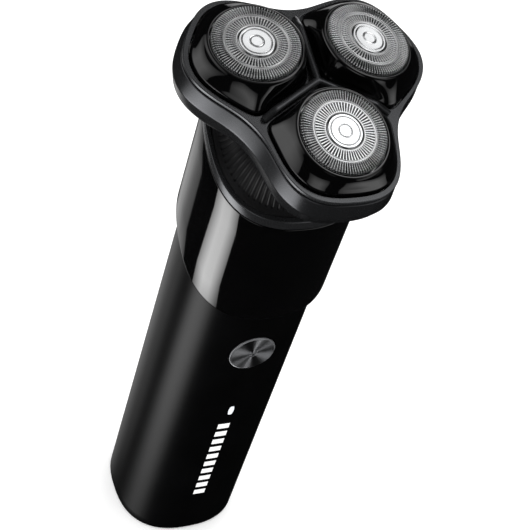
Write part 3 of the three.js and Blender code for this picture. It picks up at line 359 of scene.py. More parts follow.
def grip_surface(wall):
    """One side of the shell, set in by wall. Columns in the window stand at even x on the front
    face, and the rest at even angles round the back. The top rows tilt onto the collar's slant."""
    flare = GRIP_FLARE * (1 - row_z / GRIP_LENGTH)
    offset = (flare - row_inset - wall if wall == 0 else np.full(len(row_z), -wall))[:, None]
    window_x = np.tile(steps * WINDOW_HALF_WIDTH, (len(row_z), 1))
    window_z = np.tile(row_z[:, None], (1, len(steps)))
    for first, centre, window in (
        (light_first, LIGHT_Z, light_window),
        (button_first, BUTTON_Z, button_window),
    ):
        x, z = bent_window(**window)
        window_x[first : first + len(steps)] = x
        window_z[first : first + len(steps)] = centre + z
    window_y = -grip_depth(window_x, offset)
    right_edge = math.atan2(-grip_depth(WINDOW_HALF_WIDTH, 0), WINDOW_HALF_WIDTH)
    angle = np.linspace(right_edge, math.pi - right_edge, BACK_COLUMNS)[None, 1:-1]
    reach = grip_reach(offset, angle)
    x = np.hstack([window_x, reach * np.cos(angle)])
    y = np.hstack([window_y, reach * np.sin(angle)])
    z = np.hstack([window_z, np.tile(row_z[:, None], (1, angle.shape[1]))])
    slant = CUT_SLOPE * smoothstep((row_z - SLANT_START) / SLANT_REACH)[:, None]
    return np.stack([x, y, z + slant * y], axis=-1)


def edge_loop(first_row, ring, columns):
    """Grid numbers of the points round the square ring of an opening, in order."""
    middle = WINDOW_STEPS
    side = np.arange(-ring, ring)
    rows = np.r_[np.full(2 * ring, -ring), side, np.full(2 * ring, ring), -side]
    cols = np.r_[side, np.full(2 * ring, ring), -side, np.full(2 * ring, -ring)]
    return (first_row + middle + rows) * columns + middle + cols


outside, inside = grip_surface(0), grip_surface(GRIP_WALL)
shell_points = np.vstack([outside, inside[::-1]])
rows, columns = shell_points.shape[:2]
shell_quads = grid_faces(rows, columns, wrap_rows=True)
keep = np.ones(shell_quads.shape[:2], bool)
bridges = []
for first, window in ((light_first, light_window), (button_first, button_window)):
    ring = window["ring"]
    low, high = WINDOW_STEPS - ring, WINDOW_STEPS + ring
    keep[first + low : first + high, low:high] = False
    keep[rows - 1 - first - high : rows - 1 - first - low, low:high] = False
    outer_loop = edge_loop(first, ring, columns)
    outer_row, column = outer_loop // columns, outer_loop % columns
    inner_loop = (rows - 1 - outer_row) * columns + column
    bridges.append(
        np.stack([outer_loop, np.roll(outer_loop, -1), np.roll(inner_loop, -1), inner_loop], axis=-1)
    )
shell_quads = np.vstack([shell_quads[keep], *bridges])
piece("grip_skin", [(shell_points, shell_quads)], "grip", "grip_black", ["grip_shell"])

# %% [markdown]
# ## The charge light
# A small milky window sits in a slot in the grip. It could be a box with bevelled ends, but rings of
# one shape, each a little larger than the last, round the ends and the edge in a single grid.

# %% Light pipe
LENS_RADIUS = 0.82


def light_lens():
    """The window's own slot shape, a touch smaller: rings go from the middle of the front out to the
    edge, where the face rounds over, and straight back to the middle of the rear."""
    turn = np.linspace(-1, 1, 33)[:-1]
    side = np.concatenate([np.stack([turn, 0 * turn - 1], 1), np.stack([0 * turn + 1, turn], 1),
                           np.stack([-turn, 0 * turn + 1], 1), np.stack([0 * turn - 1, -turn], 1)])
    along = side / np.hypot(*side.T)[:, None]
    corners = [(0, -0.05), (LENS_RADIUS, -0.05), (LENS_RADIUS, 2.4), (0, 2.4)]
    profile = soften(corners, [0, 0.2, 0.1, 0])
    size, depth = profile.T[:, :, None]
    x = size * along[:, 0]
    z = size * along[:, 1] + LIGHT_SLOT_STRAIGHT * side[:, 1] * size / LENS_RADIUS
    y = -grip_depth(x, GRIP_FLARE / 2) + depth
    return np.stack([x, y, LIGHT_Z + z], axis=-1)


piece("light_lens", spun(light_lens()), "grip", "lens", ["light_guide"])

# %% [markdown]
# ## The glossy collar and the trim ring
# The collar is a polished sleeve cut on the slant at both ends, with a rounded lower lip that casts
# the thin dark line between it and the grip. Its profile is a closed line, so the tube has a wall.
# The slope of a row changes from the lower cut's to the upper one's on the way up.

# %% Collar and trim ring
collar_top = RING_Z - RING_HEIGHT - GAP
collar_inner = COLLAR_STEP - COLLAR_WALL
corners = [
    (collar_inner, GRIP_LENGTH, CUT_SLOPE),
    (COLLAR_STEP, GRIP_LENGTH, CUT_SLOPE),
    (COLLAR_STEP, GRIP_LENGTH + 8, CUT_SLOPE + 0.2 * (RING_SLOPE - CUT_SLOPE)),
    (COLLAR_STEP, collar_top - 6, RING_SLOPE),
    (COLLAR_STEP, collar_top, RING_SLOPE),
    (collar_inner, collar_top, RING_SLOPE),
]
profile = soften(corners, [0.1, 0.9, 0, 0, 0.15, 0.1], steps=7, closed=True)
piece("collar_sleeve", tube(sleeve_grid(profile, ROUND_GRIP)), "grip", "gloss_black", ["glossy_collar"])

ring_inner = COLLAR_STEP - RING_WIDTH
corners = [
    (ring_inner, RING_Z - RING_HEIGHT, RING_SLOPE),
    (COLLAR_STEP, RING_Z - RING_HEIGHT, RING_SLOPE),
    (COLLAR_STEP, RING_Z, RING_SLOPE),
    (ring_inner, RING_Z - 0.1, RING_SLOPE),
]
profile = soften(corners, [0.1, 0.12, 0.35, 0.1], steps=6, closed=True)
piece("satin_ring", tube(sleeve_grid(profile, ROUND_GRIP)), "grip", "satin_grey", ["trim_ring"])

# %% [markdown]
# ## The ribbed shoulder
# Fine ribs run from a plain border up towards the neck, like the reeding on a coin. The surface is a
# shallow cone between the ring's oval and the neck's circle. The ribs are a ripple in its height that
# goes round with the angle, wide on top and narrow between, and fades in just inside the border.

# %% Shoulder
RIBS = 76
COLUMNS_PER_RIB = 10
RIB_DEPTH = 0.34
NECK_RADIUS = 9
SHOULDER_CLIMB = 2.6
SHOULDER_ROWS = 44
SHOULDER_UNDERSIDE = -2.2


def head_to_row(points):
    """Head coordinates to the row's: turned forward by the tilt, then moved to the head's place."""
    cos, sin = math.cos(HEAD_TILT), math.sin(HEAD_TILT)
    turn = np.array([[1, 0, 0], [0, cos, sin], [0, -sin, cos]])
    return np.asarray(points) @ turn + HEAD_PLACE


def shoulder_grid():
    """Rows run from the outer edge to the neck's bore, each a share of the way from the oval to the
    circle, on a slope that levels off before the bore. The last rows return underneath."""
    angle = np.linspace(0, 2 * math.pi, RIBS * COLUMNS_PER_RIB, endpoint=False)
    edge = grip_reach(ring_inner - GAP, angle)
    outer = np.stack([edge * np.cos(angle), edge * np.sin(angle)], axis=-1)
    circle = NECK_RADIUS + GAP
    bore = head_to_row(np.stack([circle * np.cos(angle), circle * np.sin(angle), 0 * angle - 25], -1))
    shares = np.linspace(0, 1, SHOULDER_ROWS)
    rise = [(0, 0), (0.08, 0), (0.14, 0.04), (0.8, 0.97), (0.9, 1), (1, 1)]
    climb = SHOULDER_CLIMB * flowing(rise, 200)
    climb = np.interp(shares, climb[:, 0] / SHOULDER_CLIMB, climb[:, 1])
    border = -0.55 + 0.15 * smoothstep(shares / 0.05)
    share = np.r_[0, shares, 1, 0.75, 0.1, 0]
    under = [SHOULDER_UNDERSIDE]
    height = np.r_[under, border + climb, SHOULDER_CLIMB - 2, 0.4, under, under]
    plan = outer[None] + share[:, None, None] * (bore[:, :2] - outer)[None]
    wave = np.abs(((angle * RIBS / (2 * math.pi)) % 1) * 2 - 1)
    groove = 1 - smoothstep((wave - 0.1) / 0.45)
    cut = np.zeros(len(share))
    cut[1 : SHOULDER_ROWS + 1] = smoothstep((shares - 0.13) / 0.04) * (1 - smoothstep((shares - 0.94) / 0.05))
    z = RING_Z + height[:, None] - RIB_DEPTH * cut[:, None] * groove + RING_SLOPE * plan[..., 1]
    return np.concatenate([plan, z[..., None]], axis=-1)


piece("reeded_shoulder", tube(shoulder_grid()), "grip", "matt_black", ["ribbed_shoulder"], crease=60)

# %% [markdown]
# ## The power button
# A turned metal disc with a bevelled edge. Its face is dished by a few hundredths of a millimetre and
# carries an engraved standby sign, a ring with a gap and a stroke, which is a plain control symbol.
# The disc is a grid round its own axis, so the engraving is a drop in height worked out per point.

# %% Button
BUTTON_SIDES = 144
BUTTON_BEVEL = 0.42
BUTTON_FLANGE = 7.25
STEM_RADIUS = 1.6
SIGN_RADIUS = 1.15
SIGN_DEPTH = 0.1


def button_grid():
    """Radius and depth follow a turned profile from the middle of the face to the edge and back to
    the stem. The sign is cut where a point is near the ring's radius or near the stroke."""
    face = np.linspace(0, BUTTON_RADIUS - BUTTON_BEVEL, 72)
    dish = 0.10 * (1 - (face / BUTTON_RADIUS) ** 2)
    rear = soften(
        [(BUTTON_RADIUS - BUTTON_BEVEL, 0), (BUTTON_RADIUS, 0.32), (BUTTON_RADIUS, 2.3),
         (BUTTON_FLANGE, 2.3), (BUTTON_FLANGE, 3.2), (STEM_RADIUS, 3.2), (STEM_RADIUS, 4.6), (0, 4.6)],
        [0, 0.12, 0, 0.1, 0.1, 0.1, 0.1, 0], steps=4,
    )
    radius = np.r_[face, rear[1:, 0]][:, None]
    depth = np.r_[dish, rear[1:, 1]][:, None]
    angle = np.linspace(0, 2 * math.pi, BUTTON_SIDES, endpoint=False)[None, :]
    x, z = radius * np.cos(angle), radius * np.sin(angle)
    open_side = smoothstep((np.abs(np.arctan2(x, z)) - 0.5) / 0.12)
    ring = (1 - smoothstep((np.abs(np.hypot(x, z) - SIGN_RADIUS) - 0.12) / 0.09)) * open_side
    stroke = (1 - smoothstep((np.abs(x) - 0.1) / 0.09)) * smoothstep((z - 0.3) / 0.1)
    stroke = stroke * (1 - smoothstep((z - 1.55) / 0.1))
    sign = np.maximum(ring, stroke)
    sign[len(face):] = 0
    return np.stack([x, BUTTON_FRONT_Y + depth + SIGN_DEPTH * sign + 0 * x, BUTTON_Z + z], axis=-1)


button = piece("button_disc", spun(button_grid()), "power_button", "button_metal", ["power_button"],
               crease=30)

# %% [markdown]
# ## Turned pieces of the head
# The neck is a plain turned tube on the head's tilted axis. A turned surface is a profile of radius
# and height carried round a circle, and then moved by whatever places it: the head's tilt here, and a
# pod's own lean as well for the cutting caps.

# %% Turning, and places in the head
def turned_grid(profile, sides):
    """Points of a surface of revolution about +Z from (radius, height) rows."""
    radius, height = np.array(profile, float).T[:, :, None]
    angle = np.linspace(0, 2 * math.pi, sides, endpoint=False)[None, :]
    return np.stack([radius * np.cos(angle), radius * np.sin(angle), height + 0 * angle], axis=-1)


def lobe_to_head(points, degrees):
    """Turns points from a lobe's own frame, where the lobe lies along +X, about the head's axis."""
    angle = math.radians(degrees)
    cos, sin = math.cos(angle), math.sin(angle)
    return np.asarray(points) @ np.array([[cos, sin, 0], [-sin, cos, 0], [0, 0, 1]])


def lobe_to_row(points, degrees):
    """From a lobe's own frame straight to the row's."""
    return head_to_row(lobe_to_head(points, degrees))


def cap_to_lobe(points):
    """Leans points outwards by the pod's lean and moves them to the pod's place in its lobe."""
    cos, sin = math.cos(POD_TILT), math.sin(POD_TILT)
    return np.asarray(points) @ np.array([[cos, 0, -sin], [0, 1, 0], [sin, 0, cos]]) + (POD_CENTRE, 0, 0)


TURNED_SIDES = 96
NECK_BORE = 6.45
NECK_BOTTOM_H, NECK_TOP_H = -29.9, -18.3
corners = [(NECK_BORE, NECK_BOTTOM_H), (NECK_RADIUS, NECK_BOTTOM_H), (NECK_RADIUS, NECK_TOP_H),
           (NECK_BORE, NECK_TOP_H)]
neck = turned_grid(soften(corners, [0.1, 0.2, 0.6, 0.1], closed=True), TURNED_SIDES)
piece("neck_tube", tube(head_to_row(neck)), "grip", "matt_black", ["neck_collar"])

# %% [markdown]
# ## The head's outline
# Seen along its axis the head is a rounded triangle with soft waists between the lobes. Its radius is
# a mean plus three cosine waves, of three, six and nine cycles to the turn: the first makes the
# lobes, the others shape how round or flat they are.

# %% Outline and shell of the head
HEAD_MEAN_RADIUS = 26.6
HEAD_WAVES = ((3, 5.5), (6, -0.75), (9, -0.42))


def head_radius(angle, offset):
    """The outline's radius at an angle measured from a lobe, set off outwards."""
    waves = sum(size * np.cos(cycles * angle) for cycles, size in HEAD_WAVES)
    return HEAD_MEAN_RADIUS + waves + offset


ROUND_HEAD = np.linspace(0, 2 * math.pi, 288, endpoint=False)


def head_grid(profile):
    """Rows of (share of the outline, radius or offset, height): share 0 is a circle of that radius,
    share 1 is the outline with that offset, and the rows between blend the two."""
    share, size, height = np.array(profile, float).T[:, :, None]
    from_lobe = ROUND_HEAD - math.radians(LOBES["front"])
    reach = (1 - share) * size + share * head_radius(from_lobe, size)
    x = reach * np.cos(ROUND_HEAD)
    y = reach * np.sin(ROUND_HEAD)
    return np.stack([x, y, height + 0 * x], axis=-1)


# %% [markdown]
# The lower shell of the head is a cup: a satin wall that leans out a little from its rim, turns a
# soft corner and tucks in underneath, where a short spigot plugs into the neck. Inside is the well
# for the gears, so the profile runs on over the rim and down the inside, back to the stem's bore.

# %% Head shell
SHELL_WALL = [(-0.12, -6.75), (0.1, -6.9), (0.98, -10.9), (-0.35, -15.2), (-2.9, -17.2),
              (-5.6, -17.75)]
STEM_BORE = 3.7
SPIGOT_RADIUS = 6.1
SPIGOT_BOTTOM_H = -21.5
SHELL_UNDERSIDE_H = -18
WELL_FLOOR_H = -16.2
SHELL_ROUNDING = [0, 0.12, 0.4, 1.6, 1.2, 0]
wall_rows = soften(SHELL_WALL, SHELL_ROUNDING, steps=10)[::-1]
corners = [(-0.9, -6.75), (-1.3, -7.2), (-1.3, -11.6), (-1.9, -11.7), (-2.1, WELL_FLOOR_H),
           (-8, WELL_FLOOR_H)]
well = soften(corners, [0.1, 0.1, 0.05, 0.05, 0.6, 0], steps=3)
profile = [(0, STEM_BORE, SPIGOT_BOTTOM_H), (0, SPIGOT_RADIUS, SPIGOT_BOTTOM_H)]
profile += [(0, SPIGOT_RADIUS, SHELL_UNDERSIDE_H), (0, 9.9, SHELL_UNDERSIDE_H),
            (0.4, 2.5, SHELL_UNDERSIDE_H)]
profile += [(1, offset, height) for offset, height in (*wall_rows, *well)]
profile += [(0, STEM_BORE, WELL_FLOOR_H)]
piece("head_shell", tube(head_to_row(head_grid(profile))), "head_unit", "satin_dark", ["head_base"])

# %% [markdown]
# ## Pods
# Each cutter sits in a floating pod. From above, a pod fills its lobe: its edge is the nearest of the
# head's band and the two channels beside it, and a high power mean rounds the corners where two of
# those meet. Its face swells from that edge up to a raised collar round the cutting cap.

# %% Outline of a pod
POD_BAND = 1.75
CHANNEL_HALF_WIDTH = 1.4
CORNER_POWER = 9


def reach_to_outline(angle, offset):
    """Distance from a pod's centre to the head's outline, set off, found by halving an interval."""
    near, far = np.zeros_like(angle), np.full_like(angle, 80.0)
    for _ in range(40):
        middle = (near + far) / 2
        x, y = POD_CENTRE + middle * np.cos(angle), middle * np.sin(angle)
        within = np.hypot(x, y) < head_radius(np.arctan2(y, x), offset)
        near, far = np.where(within, middle, near), np.where(within, far, middle)
    return near


def reach_to_channel(angle, side, half_width):
    """Distance to the edge of the channel whose middle line lies 60 degrees to one side."""
    closing = -(np.cos(angle) * math.sin(math.pi / 3) - np.sin(angle) * side * math.cos(math.pi / 3))
    distance = POD_CENTRE * math.sin(math.pi / 3) - half_width
    return np.where(closing > 0.01, distance / np.maximum(closing, 0.01), 100 * distance)


def pod_reach(angle):
    """The nearest of the three edges, by a power mean of minus nine that rounds the corners."""
    reaches = [
        reach_to_outline(angle, -POD_BAND),
        reach_to_channel(angle, 1, CHANNEL_HALF_WIDTH),
        reach_to_channel(angle, -1, CHANNEL_HALF_WIDTH),
    ]
    return sum(reach**-CORNER_POWER for reach in reaches) ** (-1 / CORNER_POWER)


POD_TURN = np.linspace(0, 2 * math.pi, 192, endpoint=False)
POD_EDGE = pod_reach(POD_TURN)
print("pod reach, shortest and longest:", POD_EDGE.min().round(2), POD_EDGE.max().round(2))


def pod_row(offset, height):
    """One row along the pod's outline, in its lobe's frame."""
    reach = POD_EDGE + offset
    x = POD_CENTRE + reach * np.cos(POD_TURN)
    return np.stack([x, reach * np.sin(POD_TURN), np.full_like(x, height)], axis=-1)


def cap_row(radius, height):
    """One row round the pod's leaning axis, in its lobe's frame."""
    circle = np.stack([radius * np.cos(POD_TURN), radius * np.sin(POD_TURN), 0 * POD_TURN + height], -1)
    return cap_to_lobe(circle)


# %% Pods
POD_EDGE_H = -4.6
POD_BOTTOM_H = -6.8
FACE_SWELL = 0.25
FACE_ROWS = 14
LIP_FOOT = (CAP_BORE + 0.95, -0.95)  # where the face meets the raised collar
LIP_TOP_H = -0.62
CAP_SEAT_H = -2.6
RECESS_RADIUS = 11.17


def pod_grid():
    """Up the side, over a rounded edge, across the face, over the collar's lip, down the bore and
    the wider recess, and back along the bottom. A face row is a share of the way from the edge row to
    the collar row, lifted by a half sine."""
    corners = [(0, POD_BOTTOM_H), (0, POD_EDGE_H + 0.1), (-0.5, POD_EDGE_H + 0.65)]
    side = soften(corners, [0, 0.35, 0], steps=9)
    rows = [pod_row(offset, height) for offset, height in side]
    start = rows[-1]
    end = cap_row(*LIP_FOOT)
    for share in np.linspace(0, 1, FACE_ROWS)[1:]:
        row = start + share * (end - start)
        row[:, 2] += FACE_SWELL * math.sin(math.pi * share)
        rows.append(row)
    corners = [LIP_FOOT, (CAP_BORE + 0.55, LIP_TOP_H), (CAP_BORE, LIP_TOP_H), (CAP_BORE, CAP_SEAT_H),
               (RECESS_RADIUS, CAP_SEAT_H)]
    lip = soften(corners, [0, 0.25, 0.2, 0.1, 0], steps=5)
    rows += [cap_row(radius, height) for radius, height in lip[1:]]
    foot = cap_row(RECESS_RADIUS, POD_BOTTOM_H)
    foot[:, 2] = POD_BOTTOM_H
    rows.append(foot)
    return np.array(rows)


pod_points = pod_grid()
for lobe, degrees in LOBES.items():
    piece(f"pod_face_{lobe}", tube(lobe_to_row(pod_points, degrees)), f"pod_{lobe}", "gloss_black",
          [f"pod_{lobe}"], crease=50)

# %% [markdown]
# ## The head's upper frame
# The removable frame is a thin plate with three openings, one for each pod. It is worked out one
# third at a time: round a pod's centre, each ray starts at the opening and ends at the head's outline
# or at the middle line of a channel. The thirds meet there point for point, so merging joins them.

# %% Frame plate
FRAME_TOP_H = -5.5
FRAME_BOTTOM_H = -6.4
OPENING_GAP = 0.4
RIM_INSET = 0.45
OUTLINE_RAYS = 97
CHANNEL_RAYS = 73
SKIRT_HALF_ANGLE = 0.2
SKIRT_TOP_H, SKIRT_BOTTOM_H = -6.42, -9.6
SKIRT_OUTSIDE, SKIRT_INSIDE = -1.6, -3


def frame_third():
    """Rows go from the lower face's outer edge in to the opening, up its wall, and out over the top
    face. Columns are rays, with one exactly at each corner where outline and channel line meet."""
    reach = head_radius(math.pi / 3, -RIM_INSET)
    corner = math.atan2(reach * math.sin(math.pi / 3), reach * math.cos(math.pi / 3) - POD_CENTRE)
    by_outline = np.linspace(-corner, corner, OUTLINE_RAYS)[:-1]
    by_channels = np.linspace(corner, 2 * math.pi - corner, CHANNEL_RAYS)[:-1]
    angle = np.r_[by_outline, by_channels]
    hole = pod_reach(angle) + OPENING_GAP
    lines = [reach_to_channel(angle, side, 0) for side in (1, -1)]
    rim = np.minimum(reach_to_outline(angle, -RIM_INSET), np.minimum(*lines))
    shares = np.r_[1, 0.5, 0, 0, 0, 0.03, 0.08, np.linspace(0.15, 1, 8)]
    drops = np.r_[-0.9, -0.9, -0.9, -0.35, -0.12, -0.03, 0, np.zeros(8)]
    distance = hole + shares[:, None] * (rim - hole)
    x = POD_CENTRE + distance * np.cos(angle)
    y = distance * np.sin(angle)
    z = np.tile(FRAME_TOP_H + drops[:, None], (1, len(angle)))
    return np.stack([x, y, z], axis=-1)


def frame_rim(third):
    """The outer edge: from the top face's outer points, over a rounding, down and under to the lower
    face's outer points, for the columns that end on the head's outline."""
    on_outline = np.arange(OUTLINE_RAYS)
    top = third[-1, on_outline]
    polar = np.arctan2(top[:, 1], top[:, 0])
    profile = soften([(-RIM_INSET, FRAME_TOP_H), (0, FRAME_TOP_H), (0, FRAME_BOTTOM_H),
                      (-RIM_INSET, FRAME_BOTTOM_H)], [0, 0.3, 0.2, 0], steps=6)
    radius = head_radius(polar, profile[:, :1])
    rows = np.stack([radius * np.cos(polar), radius * np.sin(polar), profile[:, 1:] + 0 * polar], axis=-1)
    rows[0], rows[-1] = top, third[0, on_outline]
    return rows


third = frame_third()
edge = frame_rim(third)
parts = []
for degrees in LOBES.values():
    parts += spun(lobe_to_row(third, degrees))
    parts.append((lobe_to_row(edge, degrees), grid_faces(*edge.shape[:2], wrap_columns=False)))


def skirt_grid(half_angle):
    """A short curved wall under the plate at a waist, a closed strip with rounded long edges."""
    corners = [(SKIRT_OUTSIDE, SKIRT_TOP_H), (SKIRT_OUTSIDE, SKIRT_BOTTOM_H),
               (SKIRT_INSIDE, SKIRT_BOTTOM_H), (SKIRT_INSIDE, SKIRT_TOP_H)]
    profile = soften(corners, [0, 0.3, 0.3, 0], steps=4)
    polar = np.linspace(-half_angle, half_angle, 33)
    radius = head_radius(math.pi / 3 + polar, profile[:, :1])
    rows = np.stack([radius * np.cos(polar), radius * np.sin(polar), profile[:, 1:] + 0 * polar], axis=-1)
    middle = rows.mean(axis=0, keepdims=True)
    ends = [np.repeat(middle[:, [i]], len(rows), axis=0) for i in (0, -1)]
    return np.concatenate([ends[0], rows, ends[1]], axis=1)


for degrees in WAISTS:
    strip = skirt_grid(SKIRT_HALF_ANGLE)
    quads = grid_faces(*strip.shape[:2], wrap_rows=True, wrap_columns=False)
    parts.append((lobe_to_row(strip, degrees), quads))
piece("frame_plate", parts, "head_cover", "satin_grey", ["head_frame"], crease=50)

# %% [markdown]
# ## The strips between the pods
# Three slim bars lie in the channels and meet in the middle. One bar is followed round from the
# middle, out along one side, round its end and back along the other. Where two bars meet, their sides
# cross at the half width over the tangent of 60 degrees from the middle, so the three join cleanly.

# %% Channel strips
STRIP_HALF_WIDTH = 0.9
STRIP_BOTTOM_H = -5.2
STRIP_END_FALL = 1.1  # over the last STRIP_FALL_REACH of the bar
STRIP_FALL_REACH = 4


def strip_grid():
    """Rows go from the underside's middle line out to the bar's side, up, and in over the top."""
    corners = [(0, STRIP_BOTTOM_H), (STRIP_HALF_WIDTH, STRIP_BOTTOM_H), (STRIP_HALF_WIDTH, -3.7),
               (0.45, -3.45), (0, -3.4)]
    profile = soften(corners, [0, 0.05, 0.25, 0.3, 0], steps=4)
    half, height = profile.T[:, :, None]
    end = head_radius(math.pi / 3, -2.6)
    inner = half / math.tan(math.pi / 3)
    along = np.linspace(0, 1, 24)[None, :]
    out = inner + (end - half - inner) * along
    turn = np.linspace(-math.pi / 2, math.pi / 2, 13)[None, 1:-1]
    x = np.hstack([out, end - half + half * np.cos(turn), out[:, ::-1]])
    y = np.hstack([-half + 0 * out, half * np.sin(turn), half + 0 * out])
    fall = STRIP_END_FALL * smoothstep((x - end + STRIP_FALL_REACH) / STRIP_FALL_REACH)
    z = height - fall * (height > STRIP_BOTTOM_H + 0.1)
    return np.stack([x, y, z + 0 * x], axis=-1)


strip = strip_grid()
parts = []
for degrees in WAISTS:
    quads = grid_faces(*strip.shape[:2], wrap_columns=False)
    parts.append((lobe_to_row(strip, degrees), quads))
piece("channel_strips", parts, "head_cover", "satin_dark", ["centre_bridge"], crease=50)

# %% [markdown]
# ## Cutting caps
# The shaving caps are thin ground steel, slotted right through so that hairs reach the blades. Each
# is a sheet first: rows run from the seat of the hub across two tracks and down the wall, and the
# faces where slots belong are left out. Solidify then gives the sheet its thickness, slots and all.

# %% Slotted caps
OUTER_SLOTS = 96
INNER_SLOTS = 60
CAP_COLUMNS = 480
OUTER_ROWS = (14, 21)
INNER_ROWS = (5, 7)
CAP_WALL = 0.16
CAP_PROFILE = [
    (4.3, -0.72), (4.32, -0.3), (4.36, -0.06), (4.45, 0), (4.7, 0), (4.9, 0), (6, 0), (7.02, 0),
    (7.1, 0), (7.18, -0.03), (7.26, -0.15), (7.4, -0.15), (7.48, -0.03), (7.55, 0), (7.68, 0),
    (8.6, 0), (9.3, 0), (9.75, 0), (9.98, -0.05), (10.12, -0.2), (10.17, -0.42), (10.17, -0.9),
    (10.17, -1.15), (10.17, -3), (10.87, -3.0),
]


def cap_sheet():
    """Points and faces of one cap in its own frame. The columns divide evenly by both slot counts: of
    five columns the outer track opens three, and of eight the inner track opens four."""
    points = turned_grid(CAP_PROFILE, CAP_COLUMNS)
    quads = grid_faces(*points.shape[:2])
    column = np.arange(CAP_COLUMNS)[None, :]
    row = np.arange(len(quads))[:, None]
    outer = (row >= OUTER_ROWS[0]) & (row < OUTER_ROWS[1]) & (column % (CAP_COLUMNS // OUTER_SLOTS) < 3)
    inner = (row >= INNER_ROWS[0]) & (row < INNER_ROWS[1]) & (column % (CAP_COLUMNS // INNER_SLOTS) < 4)
    return points, quads[~(outer | inner)][:, ::-1]


cap_points, cap_quads = cap_sheet()
for lobe, degrees in LOBES.items():
    points = lobe_to_row(cap_to_lobe(cap_points), degrees)
    cap = piece(f"slotted_cap_{lobe}", [(points, cap_quads)], f"pod_{lobe}", "cutter_steel",
                [f"cutter_cap_{lobe}"], crease=35, outward=False)
    wall = cap.modifiers.new("wall", "SOLIDIFY")
    wall.thickness = CAP_WALL * MM
    wall.offset = -1
    wall.use_even_offset = False

# %% [markdown]
# ## Hub discs
# A bright turned disc closes the middle of each cap. Its two fine grooves are drops in the profile.

# %% Hubs
HUB_TOP_RADIUS = 4.0
HUB_RIM_RADIUS = 4.26
HUB_UNDERSIDE_H = -0.5
HUB_GROOVES = ((3.45, 0.1, 0.07), (1.55, 0.14, 0.06))  # radius, width and depth


def hub_profile():
    """Radius and height from the middle of the top, over the rim, to the middle of the underside."""
    radius = np.linspace(0, HUB_TOP_RADIUS, 81)
    groove = sum(depth * np.exp(-(((radius - at) / width) ** 2)) for at, width, depth in HUB_GROOVES)
    crown = 0.16 - 0.05 * (radius / HUB_TOP_RADIUS) ** 2
    corners = [(HUB_TOP_RADIUS, 0.11), (HUB_RIM_RADIUS, -0.02), (HUB_RIM_RADIUS, HUB_UNDERSIDE_H),
               (0, HUB_UNDERSIDE_H)]
    rim = soften(corners, [0, 0.1, 0.05, 0], steps=4)
    return np.vstack([np.stack([radius, crown - groove], -1), rim[1:]])


hub_points = cap_to_lobe(turned_grid(hub_profile(), TURNED_SIDES))
for lobe, degrees in LOBES.items():
    piece(f"hub_disc_{lobe}", spun(lobe_to_row(hub_points, degrees)), f"pod_{lobe}", "bright_steel",
          [f"cap_hub_{lobe}"], crease=40)

# %% [markdown]
# ## Finishes
# No real surface is one flat colour. Each finish here starts from the point's own object coordinates,
# which stay with the piece when it moves. A broad noise shifts the colour and the gloss a little, as
# handling and moulding do, and a fine noise drives a bump for the grain of the surface.

# %% Node helpers
def add(tree, kind, inputs=None, **settings):
    """A node with its settings, and its inputs either linked from a socket or set to a value."""
    made = tree.nodes.new(kind)
    for key, value in settings.items():
        setattr(made, key, value)
    for key, value in (inputs or {}).items():
        if isinstance(value, bpy.types.NodeSocket):
            tree.links.new(value, made.inputs[key])
        else:
            made.inputs[key].default_value = value
    return made


def math_node(tree, operation, first, second=0.0, third=0.0):
    """A Math node's result."""
    return add(tree, "ShaderNodeMath", {0: first, 1: second, 2: third}, operation=operation).outputs[0]


def noise(tree, place, scale, detail=3.0, stretch=(1, 1, 1)):
    """Noise in object space, scale features to the metre, longer along an axis with a small stretch."""
    mapped = add(tree, "ShaderNodeMapping", {"Vector": place, "Scale": stretch})
    return add(tree, "ShaderNodeTexNoise",
               {"Vector": mapped.outputs[0], "Scale": scale, "Detail": detail}).outputs["Fac"]


def ranged(tree, value, low, high, start=0.3, end=0.7):
    """The value's range from start to end, carried to low and high."""
    return add(tree, "ShaderNodeMapRange",
               {"Value": value, "From Min": start, "From Max": end, "To Min": low, "To Max": high}).outputs[0]


def blend_colour(tree, share, first, second):
    """Two colours mixed by a share."""
    made = add(tree, "ShaderNodeMix", {"Factor": share}, data_type="RGBA")
    for socket, value in ((made.inputs[6], first), (made.inputs[7], second)):
        if isinstance(value, bpy.types.NodeSocket):
            tree.links.new(value, socket)
        else:
            socket.default_value = (*value, 1)
    return made.outputs[2]


def start_finish(name):
    """An empty material with a shader, and its tree and object coordinates."""
    made = bpy.data.materials.new(name)
    made.use_nodes = True
    tree = made.node_tree
    tree.nodes.clear()
    shader = add(tree, "ShaderNodeBsdfPrincipled")
    output = add(tree, "ShaderNodeOutputMaterial")
    tree.links.new(shader.outputs[0], output.inputs[0])
    place = add(tree, "ShaderNodeTexCoord").outputs["Object"]
    return made, tree, shader, place


def plain_finish(name, colours, roughness, metallic=0.0, broad=90, grain=3000, bump=0.05, stretch=(1, 1, 1),
                 ior=1.5):
    """Colour between two tones and roughness between two values by a broad noise, and a fine bump."""
    made, tree, shader, place = start_finish(name)
    tone = noise(tree, place, broad, 4)
    fine = noise(tree, place, grain, 3, stretch)
    tree.links.new(blend_colour(tree, ranged(tree, tone, 0, 1), *colours), shader.inputs["Base Color"])
    tree.links.new(ranged(tree, fine, *roughness), shader.inputs["Roughness"])
    height = add(tree, "ShaderNodeBump", {"Height": fine, "Strength": bump, "Distance": 0.02 * MM})
    tree.links.new(height.outputs[0], shader.inputs["Normal"])
    shader.inputs["Metallic"].default_value = metallic
    shader.inputs["IOR"].default_value = ior
    return made


